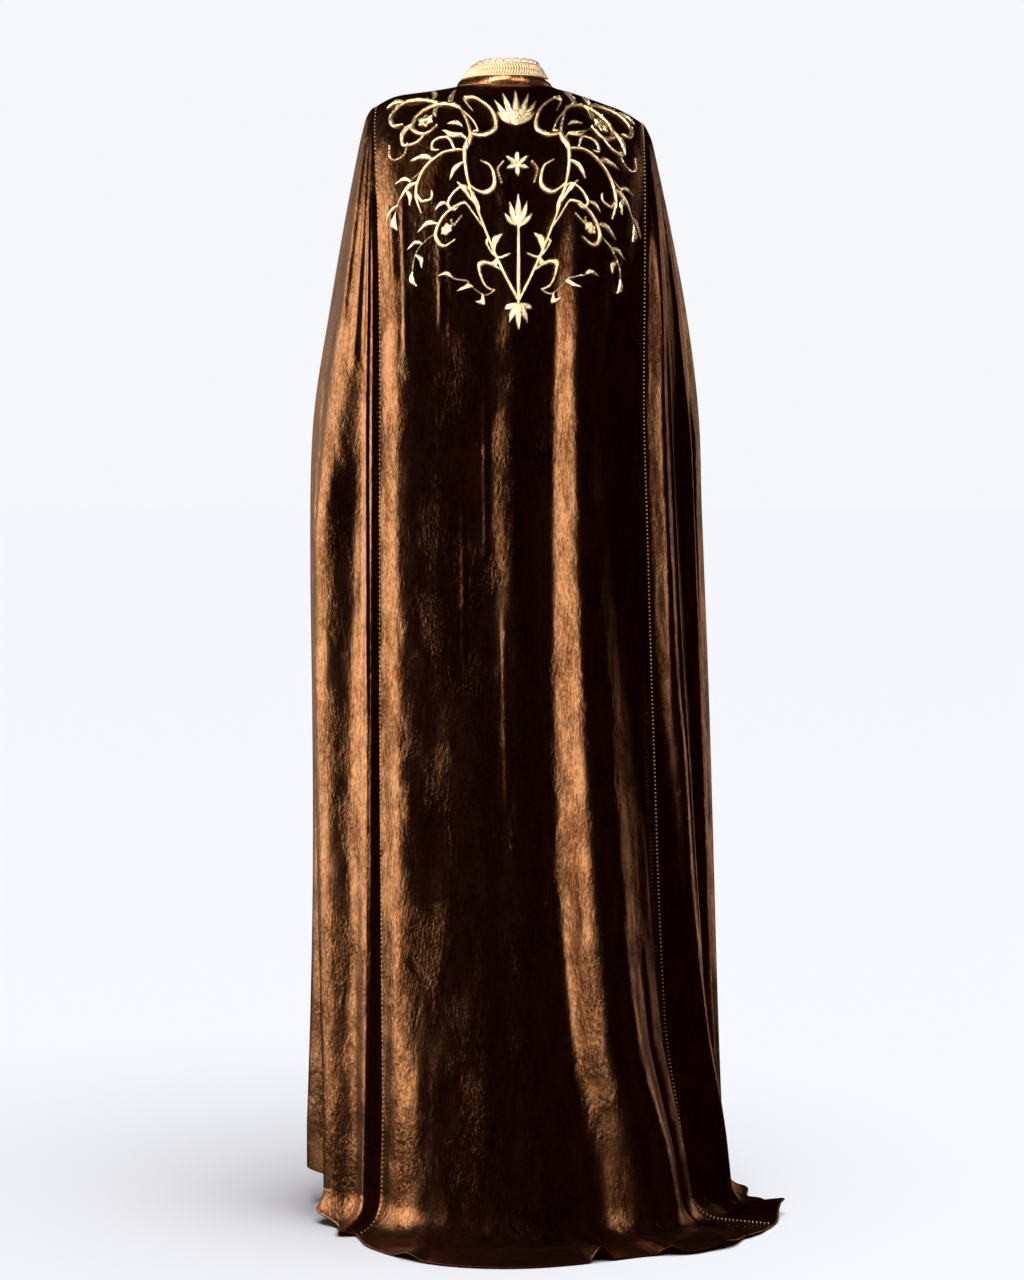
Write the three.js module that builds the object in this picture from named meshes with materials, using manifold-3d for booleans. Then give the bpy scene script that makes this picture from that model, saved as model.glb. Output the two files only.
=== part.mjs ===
// A floor-length velvet cape as it hangs when worn: a back with a short train, a side panel set in
// at each shoulder end, two open fronts, a stand collar with a braid band and a looped edging, and
// raised scrollwork over the upper back.
// Millimetres. The origin is the centre of the neck opening, level with the side neck points.
// +Z is up, +Y is the front of the garment and +X is the wearer's right.
import * as THREE from "three";
import Module from "manifold-3d";

const wasm = await Module();
wasm.setup();

// Driving sizes
const NECK_HEIGHT = 1570; // side neck point above the floor
const CLOTH = 2.2; // velvet wall
const SEAM_GAP = 0.3;
const NECK_HALF_WIDTH = 68;
const NECK_BACK = 66;
const NECK_FRONT = 72;
const NAPE_RISE = -3; // the nape lies this much above the side neck points
const FRONT_NECK_DROP = 104;
const SHOULDER_LEFT = 181; // neck centre to the left seam head
const SHOULDER_RIGHT = 195;
const SHOULDER_DROP = 38;
const SHOULDER_TILT = 8; // the left shoulder is carried this much higher, the right this much lower
const FRONT_GAP_AT_NECK = 22;
const FRONT_GAP_AT_HEM = 70;
const YOKE_LEVEL = -160; // below this level every column hangs free
const SKIRT_LEVEL = 120; // above the floor: below this the cloth starts to run out
const FOOT_RADIUS = 45; // bend where the cloth meets the floor
const FALL_TO_BEND = SKIRT_LEVEL - FOOT_RADIUS;
const BACK_ROUND = 112; // height over which the cloth turns from the shoulder into the back
const SEAM_ROUND = 80;
const SIDE_ROUND = 24;

const SHARED_REACH = 18; // how far from a seam the two walls stay side by side
const COLLAR_LEAN = 36; // degrees the collar leans in at the sides of the neck
const STAND_HEIGHT = 12; // velvet collar stand
const BRAID_HEIGHT = 17;
const LOOP_HEIGHT = 7;
const LOOP_COUNT = 40;
const LOOP_CORD = 1.6;
const LOOP_SEGMENTS = 4;
const CORD_WIDTH = 5.4; // raised gold cord
const CORD_RISE = 2.4;
const LIFT = 1.35; // from the back to the underside of the scrollwork
const SMALL_LIFT = 0.75; // and to that of the short forms

const FLOOR = -NECK_HEIGHT;
const DEG = Math.PI / 180;

const lerp = (a, b, t) => a + (b - a) * t;
const clamp = (x, low, high) => Math.min(high, Math.max(low, x));
const bump = (t) => (Math.abs(t) < 1 ? Math.cos((t * Math.PI) / 2) ** 2 : 0);
const ease = (t) => t * t * (3 - 2 * t);

// Rows of numbers under named columns
function table(columns, rows) {
  return rows.map((row) => Object.fromEntries(columns.map((name, i) => [name, row[i]])));
}

// The value of a column at a key, on a smooth curve through the rows, which are in order of the key
function read(rows, key, at, column) {
  const up = rows[0][key] < rows[rows.length - 1][key];
  let i = 0;
  while (i < rows.length - 2 && (up ? at > rows[i + 1][key] : at < rows[i + 1][key])) i += 1;
  const slope = (n) => {
    const before = rows[Math.max(n - 1, 0)];
    const after = rows[Math.min(n + 1, rows.length - 1)];
    return (after[column] - before[column]) / (after[key] - before[key]);
  };
  const span = rows[i + 1][key] - rows[i][key];
  const t = clamp((at - rows[i][key]) / span, 0, 1);
  const start = rows[i][column];
  const end = rows[i + 1][column];
  return (
    (2 * t ** 3 - 3 * t ** 2 + 1) * start +
    (t ** 3 - 2 * t ** 2 + t) * span * slope(i) +
    (3 * t ** 2 - 2 * t ** 3) * end +
    (t ** 3 - t ** 2) * span * slope(i + 1)
  );
}

// Plan of the cape at heights above the floor: half widths, depths behind and before the neck, how
// square the outline is, where the seams lie, how deep the cloth sinks at them, and how much wider
// than SEAM_REACH it does so
const SECTIONS = table(
  [
    ...["height", "left", "right", "back", "front", "square"],
    ...["seamLeft", "seamRight", "seamFront", "sinkLeft", "sinkRight", "spread"],
  ],
  [
    [1590, 182, 196, 90, 72, 2.3, 180, 192, 181, 0, 0, 1],
    [1520, 194, 201, 100, 80, 2.4, 188, 191, 180, 1, 1, 1],
    [1490, 201, 207, 107, 92, 2.5, 190, 190, 177, 2, 3, 1],
    [1397, 219, 225, 117, 110, 2.6, 190, 189, 172, 4, 7, 1],
    [1257, 242, 249, 122, 128, 2.7, 190, 186, 166, 6, 11, 1],
    [1117, 262, 265, 124, 138, 2.7, 191, 184, 164, 7, 12, 1],
    [977, 266, 269, 128, 142, 2.7, 192, 188, 164, 7, 12, 1],
    [697, 260, 278, 146, 154, 2.6, 194, 195, 166, 7, 12, 1.05],
    [277, 250, 288, 192, 182, 2.4, 197, 210, 172, 9, 13, 1.2],
    [137, 248, 294, 218, 192, 2.3, 199, 232, 176, 10, 13, 1.3],
    [45, 248, 300, 232, 198, 2.2, 201, 246, 180, 9, 11, 1.4],
  ],
);

// How wide the cloth sinks on each side of a seam
const SEAM_REACH = { backLeft: 30, sideLeft: 8, backRight: 42, sideRight: 18, front: 22 };

// Largest folds. Each row gives a panel, then crest place, rise and reach at five heights. Places and
// reaches are shares of the panel's width, from the left seam on the back and from the back seam on
// the sides and from the side seam on the fronts. A rise below nought is a hollow. A lean above nought
// makes the flank towards the start of the panel shorter and the other one longer.
const FOLD_HEIGHTS = [1420, 1200, 900, 500, 110];
const FOLDS = [
  { panel: "back", place: [0.11, 0.11, 0.11, 0.11, 0.11], rise: [0, 3, 4, 4, 2], reach: [0.1, 0.1, 0.1, 0.1, 0.1], lean: 0 },
  { panel: "back", place: [0.3, 0.3, 0.3, 0.31, 0.33], rise: [0, 0, 2, 7, 12], reach: [0.15, 0.15, 0.16, 0.2, 0.25], lean: 0 },
  { panel: "back", place: [0.49, 0.49, 0.48, 0.48, 0.5], rise: [0, 6, 8, 4, 2], reach: [0.09, 0.09, 0.09, 0.09, 0.09], lean: 0 },
  { panel: "back", place: [0.715, 0.715, 0.712, 0.725, 0.757], rise: [7, 22, 28, 38, 40], reach: [0.14, 0.14, 0.16, 0.2, 0.19], lean: 0.35 },
  { panel: "back", place: [0.8, 0.8, 0.8, 0.8, 0.83], rise: [0, 0, 0, 5, 14], reach: [0.05, 0.05, 0.05, 0.05, 0.06], lean: 0 },
  { panel: "back", place: [0.93, 0.93, 0.93, 0.93, 0.93], rise: [0, 0, 0, 4, 12], reach: [0.05, 0.05, 0.05, 0.05, 0.05], lean: 0 },
  { panel: "left", place: [0.04, 0.035, 0.035, 0.04, 0.045], rise: [1, 1, 2, 6, 12], reach: [0.04, 0.035, 0.035, 0.06, 0.07], lean: 0.3 },
  { panel: "left", place: [0.22, 0.2, 0.25, 0.26, 0.26], rise: [3, 7, 20, 24, 28], reach: [0.12, 0.12, 0.15, 0.14, 0.13], lean: 0 },
  { panel: "left", place: [0.36, 0.36, 0.36, 0.37, 0.38], rise: [0, -2, -5, -12, -20], reach: [0.06, 0.06, 0.06, 0.07, 0.08], lean: 0 },
  { panel: "left", place: [0.5, 0.5, 0.52, 0.56, 0.6], rise: [2, 4, 8, 16, 34], reach: [0.09, 0.1, 0.11, 0.12, 0.13], lean: 0 },
  { panel: "left", place: [0.84, 0.84, 0.84, 0.84, 0.85], rise: [2, 4, 8, 12, 16], reach: [0.08, 0.09, 0.09, 0.1, 0.1], lean: 0 },
  { panel: "right", place: [0.06, 0.065, 0.075, 0.11, 0.14], rise: [4, 7, 9, 12, 22], reach: [0.06, 0.06, 0.07, 0.09, 0.1], lean: 0.1 },
  { panel: "right", place: [0.2, 0.2, 0.22, 0.24, 0.26], rise: [2, 5, 8, 10, 12], reach: [0.04, 0.045, 0.05, 0.06, 0.07], lean: 0.2 },
  { panel: "right", place: [0.34, 0.34, 0.35, 0.38, 0.4], rise: [3, 7, 10, 14, 18], reach: [0.07, 0.08, 0.09, 0.1, 0.1], lean: 0.1 },
  { panel: "right", place: [0.5, 0.51, 0.52, 0.54, 0.57], rise: [-2, -4, -5, -8, -12], reach: [0.07, 0.08, 0.08, 0.09, 0.09], lean: 0 },
  { panel: "right", place: [0.64, 0.64, 0.65, 0.68, 0.7], rise: [3, 5, 8, 12, 18], reach: [0.08, 0.09, 0.09, 0.1, 0.1], lean: 0 },
  { panel: "right", place: [0.85, 0.85, 0.85, 0.86, 0.87], rise: [2, 4, 7, 11, 14], reach: [0.08, 0.08, 0.08, 0.08, 0.08], lean: 0 },
  { panel: "front", place: [0.22, 0.22, 0.22, 0.23, 0.24], rise: [0, 5, 9, 14, 20], reach: [0.14, 0.14, 0.15, 0.16, 0.17], lean: 0 },
  { panel: "front", place: [0.46, 0.46, 0.46, 0.47, 0.48], rise: [0, -4, -7, -12, -16], reach: [0.13, 0.13, 0.13, 0.14, 0.14], lean: 0 },
  { panel: "front", place: [0.72, 0.72, 0.72, 0.72, 0.72], rise: [0, 5, 9, 15, 22], reach: [0.14, 0.14, 0.15, 0.16, 0.17], lean: 0 },
].map((fold) => ({
  panel: fold.panel,
  lean: fold.lean,
  rows: FOLD_HEIGHTS.map((height, i) => ({
    height,
    place: fold.place[i],
    rise: fold.rise[i],
    reach: fold.reach[i],
  })),
}));

// Cloth below the skirt level, by bearing from the back centre, wearer's left below nought
const HEM = table(
  ["bearing", "length"],
  [
    [-180, 66],
    [-130, 68],
    [-112, 69],
    [-98, 70],
    [-84, 86],
    [-72, 110],
    [-62, 134],
    [-53, 148],
    [-42, 174],
    [-25, 212],
    [-6, 228],
    [10, 222],
    [20, 216],
    [38, 214],
    [50, 208],
    [60, 218],
    [70, 182],
    [82, 148],
    [96, 116],
    [112, 88],
    [130, 72],
    [180, 66],
  ],
);

// Waves that lift the hem off the floor, by bearing
const HEM_WAVES = table(
  ["bearing", "reach", "lift"],
  [
    [-57, 7, 4],
    [-31, 5, 7],
    [12, 3.4, 20],
    [28, 4, 9],
    [41, 4.5, 4],
    [69, 9, 14],
  ],
);

// Line of the shoulder from the side neck point to its end
const SHOULDER_LINE = table(
  ["share", "drop"],
  [
    [0, 0],
    [0.2, 5.5],
    [0.32, 9],
    [0.55, 15.5],
    [0.75, 22],
    [0.92, 32],
    [1, SHOULDER_DROP],
  ],
);

const sections = new Map();

// Outline of the cape at one height, as two halves that run from the back centre to the front centre
function sectionAt(height) {
  const known = sections.get(height);
  if (known) return known;
  const plan = {};
  for (const column of Object.keys(SECTIONS[0])) plan[column] = read(SECTIONS, "height", height, column);
  const steps = 160;
  const half = (side, width, seam) => {
    const points = [];
    let arc = 0;
    for (let i = 0; i <= steps; i += 1) {
      const angle = (Math.PI * i) / steps;
      const depth = angle < Math.PI / 2 ? plan.back : plan.front;
      const x = side * width * Math.abs(Math.sin(angle)) ** (2 / plan.square);
      const y = -Math.sign(Math.cos(angle)) * depth * Math.abs(Math.cos(angle)) ** (2 / plan.square);
      if (i) arc += Math.hypot(x - points[i - 1].x, y - points[i - 1].y);
      points.push({ x, y, arc });
    }
    const arcWhere = (from, to, limit) => {
      for (let i = from; i !== to; i += Math.sign(to - from)) {
        const next = points[i + Math.sign(to - from)];
        if (Math.abs(next.x) >= limit) {
          const t = (limit - Math.abs(points[i].x)) / (Math.abs(next.x) - Math.abs(points[i].x));
          return lerp(points[i].arc, next.arc, t);
        }
      }
      return points[to].arc;
    };
    const gap = lerp(FRONT_GAP_AT_HEM, FRONT_GAP_AT_NECK, clamp(height / NECK_HEIGHT, 0, 1)) / 2;
    return {
      points,
      backSeam: arcWhere(0, steps / 2, seam),
      frontSeam: arcWhere(steps, steps / 2, plan.seamFront),
      frontEdge: arcWhere(steps, steps / 2, gap),
    };
  };
  const made = { plan, left: half(-1, plan.left, plan.seamLeft), right: half(1, plan.right, plan.seamRight) };
  sections.set(height, made);
  return made;
}

// Place and outward direction on an outline, at an arc length from the back centre
function onOutline(half, arc) {
  const points = half.points;
  let i = 1;
  while (i < points.length - 1 && points[i].arc < arc) i += 1;
  const a = points[i - 1];
  const b = points[i];
  const t = clamp((arc - a.arc) / (b.arc - a.arc), 0, 1);
  const length = Math.hypot(b.x - a.x, b.y - a.y);
  const side = Math.sign(points[Math.floor(points.length / 2)].x);
  return {
    x: lerp(a.x, b.x, t),
    y: lerp(a.y, b.y, t),
    outX: (side * (b.y - a.y)) / length,
    outY: (-side * (b.x - a.x)) / length,
  };
}

const PANELS = {
  back: { side: 0, folds: "back" },
  left: { side: -1, folds: "left" },
  right: { side: 1, folds: "right" },
  front_left: { side: -1, folds: "front" },
  front_right: { side: 1, folds: "front" },
};

// Signed arc length from the back centre, at a share of a panel's width
function arcOn(panel, share, section) {
  const half = PANELS[panel].side < 0 ? section.left : section.right;
  if (panel === "back") return lerp(-section.left.backSeam, section.right.backSeam, share);
  if (panel.startsWith("front")) return PANELS[panel].side * lerp(half.frontSeam, half.frontEdge, share);
  return PANELS[panel].side * lerp(half.backSeam, half.frontSeam, share);
}

// How far the cloth stands out from the plain outline
function standOut(panel, share, height, section, arc) {
  const half = arc < 0 ? section.left : section.right;
  const name = arc < 0 ? "Left" : "Right";
  const edge = panel.startsWith("front") ? share : Math.min(share, 1 - share);
  let out = 0;
  for (const fold of FOLDS) {
    if (fold.panel !== PANELS[panel].folds) continue;
    const at = (column) => read(fold.rows, "height", height, column);
    const away = share - at("place");
    out += at("rise") * bump(away / (at("reach") * (1 + fold.lean * Math.sign(away))));
  }
  out *= ease(clamp(edge / 0.05, 0, 1));
  const { plan } = section;
  const sink = plan["sink" + name];
  const beyond = Math.abs(arc) - half.backSeam;
  const reach = SEAM_REACH[(beyond < 0 ? "back" : "side") + name];
  out -= sink * bump(beyond / (reach * plan.spread));
  out -= 0.8 * sink * bump((Math.abs(arc) - half.frontSeam) / (SEAM_REACH.front * plan.spread));
  return out;
}

// Plan position of the hanging cloth at a height above the floor
function hanging(panel, share, height) {
  const section = sectionAt(height);
  const arc = arcOn(panel, share, section);
  const place = onOutline(arc < 0 ? section.left : section.right, Math.abs(arc));
  const out = standOut(panel, share, height, section, arc);
  return { x: place.x + place.outX * out, y: place.y + place.outY * out, plain: place, out };
}

function neckPoint(angle, side) {
  const back = Math.cos(angle);
  const depth = back > 0 ? NECK_BACK : NECK_FRONT;
  const z = back > 0 ? NAPE_RISE * back : -FRONT_NECK_DROP * (-back) ** 1.1;
  return { x: side * NECK_HALF_WIDTH * Math.sin(angle), y: 2 - depth * back, z };
}

function shoulderPoint(share, side) {
  const drop = read(SHOULDER_LINE, "share", share, "drop");
  return {
    x: side * lerp(NECK_HALF_WIDTH, side < 0 ? SHOULDER_LEFT : SHOULDER_RIGHT, share),
    y: lerp(2, 0, share),
    z: -drop - side * SHOULDER_TILT * ease(share),
  };
}

const NECK_SHARE_OF_BACK = 0.36; // part of the back's upper edge that is neck
const NECK_SHARE_OF_FRONT = 0.42;
const FRONT_NECK_END = Math.PI - Math.asin(FRONT_GAP_AT_NECK / 2 / NECK_HALF_WIDTH);

// Upper edge of a panel, at a share of its width
function upperEdge(panel, share) {
  if (panel === "back") {
    const side = share < 0.5 ? -1 : 1;
    const out = Math.abs(share - 0.5) * 2;
    if (out < NECK_SHARE_OF_BACK) return neckPoint((out / NECK_SHARE_OF_BACK) * (Math.PI / 2), side);
    return shoulderPoint((out - NECK_SHARE_OF_BACK) / (1 - NECK_SHARE_OF_BACK), side);
  }
  const side = PANELS[panel].side;
  if (panel.startsWith("front")) {
    const shoulder = 1 - NECK_SHARE_OF_FRONT;
    if (share < shoulder) return shoulderPoint(1 - share / shoulder, side);
    return neckPoint(lerp(Math.PI / 2, FRONT_NECK_END, (share - shoulder) / NECK_SHARE_OF_FRONT), side);
  }
  return shoulderPoint(1, side);
}

// Height over which a column turns from the upper edge into the fall
function roundOf(panel, share) {
  if (panel === "back") return lerp(SEAM_ROUND, BACK_ROUND, ease(clamp(Math.min(share, 1 - share) / 0.2, 0, 1)));
  if (panel.startsWith("front")) return lerp(SEAM_ROUND, 72, ease(clamp(share / 0.4, 0, 1)));
  return lerp(SIDE_ROUND, SEAM_ROUND, Math.abs(1 - 2 * share) ** 2);
}

// Rows of a column above the yoke level, as shares of the way down from the upper edge. The first
// of them, down to the head row, are the seam to which the head of a side panel is gathered.
const YOKE_ROWS = [0, 0.01, 0.042, 0.1, 0.17, 0.29, 0.475, 0.68, 1];
const HEAD_ROW = 4;

// A point of a column above the yoke level, at a height z
function yokePoint(panel, share, z) {
  const top = upperEdge(panel, share);
  const fall = clamp((top.z - z) / roundOf(panel, share), 0, 1);
  const turn = Math.sqrt(1 - (1 - fall) ** 2);
  const wall = hanging(panel, share, z - FLOOR);
  return new THREE.Vector3(lerp(top.x, wall.x, turn), lerp(top.y, wall.y, turn), z);
}

// Points of a column above the yoke level. A side panel starts on the seam round the shoulder end.
function yokeColumn(panel, share, even) {
  const top = upperEdge(panel, share);
  if (panel !== "left" && panel !== "right") {
    return YOKE_ROWS.map((part) => yokePoint(panel, share, lerp(top.z, YOKE_LEVEL, part)));
  }
  const seam = even < 0.5 ? 0 : 1;
  const row = HEAD_ROW * Math.abs(1 - 2 * even);
  const above = Math.min(Math.floor(row + 1e-9), HEAD_ROW - 1);
  const seamPoint = (n) => yokePoint(panel, seam, lerp(top.z, YOKE_LEVEL, YOKE_ROWS[n]));
  const start = seamPoint(above).lerp(seamPoint(above + 1), row - above);
  const away = start.clone().sub(yokePoint(panel, share, start.z));
  return YOKE_ROWS.slice(HEAD_ROW).map((part) => {
    const down = (part - YOKE_ROWS[HEAD_ROW]) / (1 - YOKE_ROWS[HEAD_ROW]);
    return yokePoint(panel, share, lerp(start.z, YOKE_LEVEL, down)).addScaledVector(away, 1 - down);
  });
}

// Cloth below the skirt level: it falls, bends and runs out over the floor
function skirtPoint(panel, share, along) {
  const foot = hanging(panel, share, FOOT_RADIUS);
  const bearing = Math.atan2(foot.plain.x, -foot.plain.y) / DEG;
  const length = read(HEM, "bearing", bearing, "length") * along;
  if (length <= FALL_TO_BEND) {
    const height = SKIRT_LEVEL - length;
    const wall = hanging(panel, share, height);
    return new THREE.Vector3(wall.x, wall.y, height + FLOOR);
  }
  const turned = Math.min((length - FALL_TO_BEND) / FOOT_RADIUS, Math.PI / 2);
  const run = length - FALL_TO_BEND - turned * FOOT_RADIUS;
  const radius = Math.hypot(foot.plain.x, foot.plain.y);
  const settle = clamp(run / 90, 0, 1);
  const outward = FOOT_RADIUS * (1 - Math.cos(turned)) + run - 0.6 * foot.out * settle;
  let lift = 0.3 * Math.max(foot.out, 0) * bump(clamp(run / 110, 0, 1)) * Math.sin(turned) ** 4;
  for (const wave of HEM_WAVES) lift += wave.lift * bump((bearing - wave.bearing) / wave.reach) * along ** 3;
  return new THREE.Vector3(
    foot.x + (foot.plain.x / radius) * outward,
    foot.y + (foot.plain.y / radius) * outward,
    FLOOR + CLOTH + FOOT_RADIUS * (1 - Math.sin(turned)) + (turned > 0 ? lift : 0),
  );
}

const BACK_COLUMNS = 36;
const SIDE_COLUMNS = 24;
const FRONT_COLUMNS = 12;
const FALL_ROWS = 11;
const SKIRT_ROWS = 7;

// Outer points of one column from its top to the hem
function column(panel, share, even) {
  const points = yokeColumn(panel, share, even);
  for (let i = 1; i <= FALL_ROWS; i += 1) {
    const height = lerp(YOKE_LEVEL - FLOOR, SKIRT_LEVEL, i / FALL_ROWS);
    const wall = hanging(panel, share, height);
    points.push(new THREE.Vector3(wall.x, wall.y, height + FLOOR));
  }
  for (let i = 1; i <= SKIRT_ROWS; i += 1) points.push(skirtPoint(panel, share, i / SKIRT_ROWS));
  return points;
}

// Outward direction shared by both sides of a seam
function seamOutward(point) {
  const up = clamp((point.z + 150) / 130, 0, 1);
  const down = clamp((FLOOR + 60 - point.z) / 60, 0, 1);
  const flat = new THREE.Vector3(point.x / 1.6, point.y, 0).normalize();
  return flat.multiplyScalar(1 - 0.55 * up - 0.7 * down).add(new THREE.Vector3(0, 0, 1.1 * up + 1.2 * down)).normalize();
}

// Share of a panel's width at an even step across it: columns lie closer together near the seams
function spread(even) {
  return lerp(even, (1 - Math.cos(even * Math.PI)) / 2, 0.5);
}

// Grid of outer points and of the directions in which the wall lies under them. Near a seam the
// directions turn into those of the seam, so the two walls meet side by side.
function panelGrid(panel, columns) {
  const points = [];
  for (let i = 0; i <= columns; i += 1) points.push(column(panel, spread(i / columns), i / columns));
  const rows = points[0].length - 1;
  const facing = PANELS[panel].side < 0 ? -1 : 1;
  const outward = points.map((line, i) =>
    line.map((point, j) => {
      const edges = [points[0][j], points[columns][j], line[0]];
      const near = edges.reduce((a, b) => (a.distanceTo(point) < b.distanceTo(point) ? a : b));
      const shared = clamp(1 - near.distanceTo(point) / SHARED_REACH, 0, 1);
      if (shared === 1) return seamOutward(near);
      const across = points[Math.min(i + 1, columns)][j].clone().sub(points[Math.max(i - 1, 0)][j]);
      const down = points[i][Math.min(j + 1, rows)].clone().sub(points[i][j - 1]);
      const own = down.cross(across).multiplyScalar(facing).normalize();
      return own.lerp(seamOutward(near), shared).normalize();
    }),
  );
  return { points, outward, columns, rows, facing };
}

// Closed solid between two grids of points, given as columns of equal length
function slab(outer, inner, flip) {
  const columns = outer.length - 1;
  const rows = outer[0].length - 1;
  const positions = [...outer.flat(), ...inner.flat()].flatMap((p) => [p.x, p.y, p.z]);
  const at = (i, j, under) => under * (columns + 1) * (rows + 1) + i * (rows + 1) + j;
  const faces = [];
  const quad = (a, b, c, d) => faces.push(...(flip ? [a, c, b, a, d, c] : [a, b, c, a, c, d]));
  for (let i = 0; i < columns; i += 1) {
    for (let j = 0; j < rows; j += 1) {
      quad(at(i, j, 0), at(i, j + 1, 0), at(i + 1, j + 1, 0), at(i + 1, j, 0));
      quad(at(i, j, 1), at(i + 1, j, 1), at(i + 1, j + 1, 1), at(i, j + 1, 1));
    }
    quad(at(i, 0, 0), at(i + 1, 0, 0), at(i + 1, 0, 1), at(i, 0, 1));
    quad(at(i, rows, 0), at(i, rows, 1), at(i + 1, rows, 1), at(i + 1, rows, 0));
  }
  for (let j = 0; j < rows; j += 1) {
    quad(at(0, j, 0), at(0, j, 1), at(0, j + 1, 1), at(0, j + 1, 0));
    quad(at(columns, j, 0), at(columns, j + 1, 0), at(columns, j + 1, 1), at(columns, j, 1));
  }
  const geometry = new THREE.BufferGeometry();
  geometry.setAttribute("position", new THREE.Float32BufferAttribute(positions, 3));
  geometry.setIndex(faces);
  return geometry;
}

// A panel as a wall: its edges are drawn in by half the seam gap
function panelWall(grid) {
  const { points, outward, columns, rows } = grid;
  const outer = points.map((line, i) =>
    line.map((point, j) => {
      const inI = clamp(i, 1, columns - 1);
      const inJ = Math.max(j, 1);
      if (inI === i && inJ === j) return point.clone();
      const inward = points[inI][inJ].clone().sub(point).setLength(SEAM_GAP * 0.75);
      return point.clone().add(inward);
    }),
  );
  const inner = outer.map((line, i) => line.map((point, j) => point.clone().addScaledVector(outward[i][j], -CLOTH)));
  return slab(outer, inner, grid.facing < 0);
}

// The neck edge as a line with a length, from the left front edge round the back to the right
const NECK_STEPS = 240;
const neckLine = [];
for (let i = 0; i <= NECK_STEPS; i += 1) {
  const angle = FRONT_NECK_END * ((2 * i) / NECK_STEPS - 1);
  const point = neckPoint(Math.abs(angle), Math.sign(angle) || 1);
  const last = neckLine[i - 1];
  neckLine.push({ ...point, length: last ? last.length + Math.hypot(point.x - last.x, point.y - last.y, point.z - last.z) : 0 });
}
const NECK_LENGTH = neckLine[NECK_STEPS].length;

// Lengths along the neck edge at which the panels have their columns
function neckStops() {
  const angles = [0, Math.PI / 2, FRONT_NECK_END];
  for (let i = 0; i <= BACK_COLUMNS; i += 1) {
    const out = spread(i / BACK_COLUMNS) * 2 - 1;
    if (out > 0.01 && out < NECK_SHARE_OF_BACK - 0.02) angles.push((out / NECK_SHARE_OF_BACK) * (Math.PI / 2));
  }
  for (let i = 0; i < FRONT_COLUMNS; i += 1) {
    const part = (spread(i / FRONT_COLUMNS) - 1 + NECK_SHARE_OF_FRONT) / NECK_SHARE_OF_FRONT;
    if (part > 0.02) angles.push(lerp(Math.PI / 2, FRONT_NECK_END, part));
  }
  return [...angles, ...angles.filter((angle) => angle > 0).map((angle) => -angle)].sort((a, b) => a - b);
}

// The neck edge at each stop: its place, its length from the left front edge, and the directions up
// the collar and inward. The collar leans in towards the neck at the sides.
const neckFrames = neckStops().map((angle) => {
  const step = ((angle / FRONT_NECK_END + 1) / 2) * NECK_STEPS;
  const i = Math.min(Math.floor(step), NECK_STEPS - 1);
  const a = new THREE.Vector3(neckLine[i].x, neckLine[i].y, neckLine[i].z);
  const b = new THREE.Vector3(neckLine[i + 1].x, neckLine[i + 1].y, neckLine[i + 1].z);
  const along = b.clone().sub(a).normalize();
  const straight = new THREE.Vector3(0, 0, 1).addScaledVector(along, -along.z).normalize();
  const inside = along.clone().cross(straight).negate();
  const lean = COLLAR_LEAN * Math.sin(angle) ** 2 * DEG;
  return {
    place: a.lerp(b, step - i),
    length: lerp(neckLine[i].length, neckLine[i + 1].length, step - i),
    up: straight.clone().multiplyScalar(Math.cos(lean)).addScaledVector(inside, Math.sin(lean)),
    inward: inside.clone().multiplyScalar(Math.cos(lean)).addScaledVector(straight, -Math.sin(lean)),
  };
});

// A point of the collar at a length along the neck edge, a height above it and a depth inward
function onCollar(length, height, depth) {
  let i = 1;
  while (i < neckFrames.length - 1 && neckFrames[i].length < length) i += 1;
  const [a, b] = [neckFrames[i - 1], neckFrames[i]];
  const at = (frame) => frame.place.clone().addScaledVector(frame.up, height).addScaledVector(frame.inward, depth);
  return at(a).lerp(at(b), (length - a.length) / (b.length - a.length));
}

// A band of the collar between two heights above the neck edge
function collarBand(low, high) {
  const stops = neckFrames.map((frame) => frame.length);
  const face = (depth) => stops.map((length) => [onCollar(length, high, depth), onCollar(length, low, depth)]);
  return slab(face(0), face(CLOTH), false);
}

// A bar of the given cross sections, each a ring of points, closed at both ends
function bar(rings) {
  const around = rings[0].length;
  const faces = [];
  for (let i = 0; i < rings.length - 1; i += 1) {
    for (let k = 0; k < around; k += 1) {
      const a = i * around + k;
      const b = i * around + ((k + 1) % around);
      faces.push(a, b, b + around, a, b + around, a + around);
    }
  }
  const end = (rings.length - 1) * around;
  for (let k = 1; k < around - 1; k += 1) faces.push(0, k + 1, k, end, end + k, end + k + 1);
  return new wasm.Manifold(
    new wasm.Mesh({
      numProp: 3,
      vertProperties: new Float32Array(rings.flat(2)),
      triVerts: new Uint32Array(faces),
    }),
  );
}

// Joined bars as a geometry, each point moved by a function of its flat place. The flat places are
// seen from behind the work, so every face is turned round.
function bent(joined, place) {
  const mesh = joined.getMesh();
  const positions = [];
  for (let i = 0; i < mesh.vertProperties.length; i += mesh.numProp) {
    const point = place(mesh.vertProperties[i], mesh.vertProperties[i + 1], mesh.vertProperties[i + 2]);
    positions.push(point.x, point.y, point.z);
  }
  const geometry = new THREE.BufferGeometry();
  geometry.setAttribute("position", new THREE.Float32BufferAttribute(positions, 3));
  const faces = [...mesh.triVerts];
  for (let i = 0; i < faces.length; i += 3) [faces[i + 1], faces[i + 2]] = [faces[i + 2], faces[i + 1]];
  geometry.setIndex(faces);
  return geometry;
}

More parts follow.
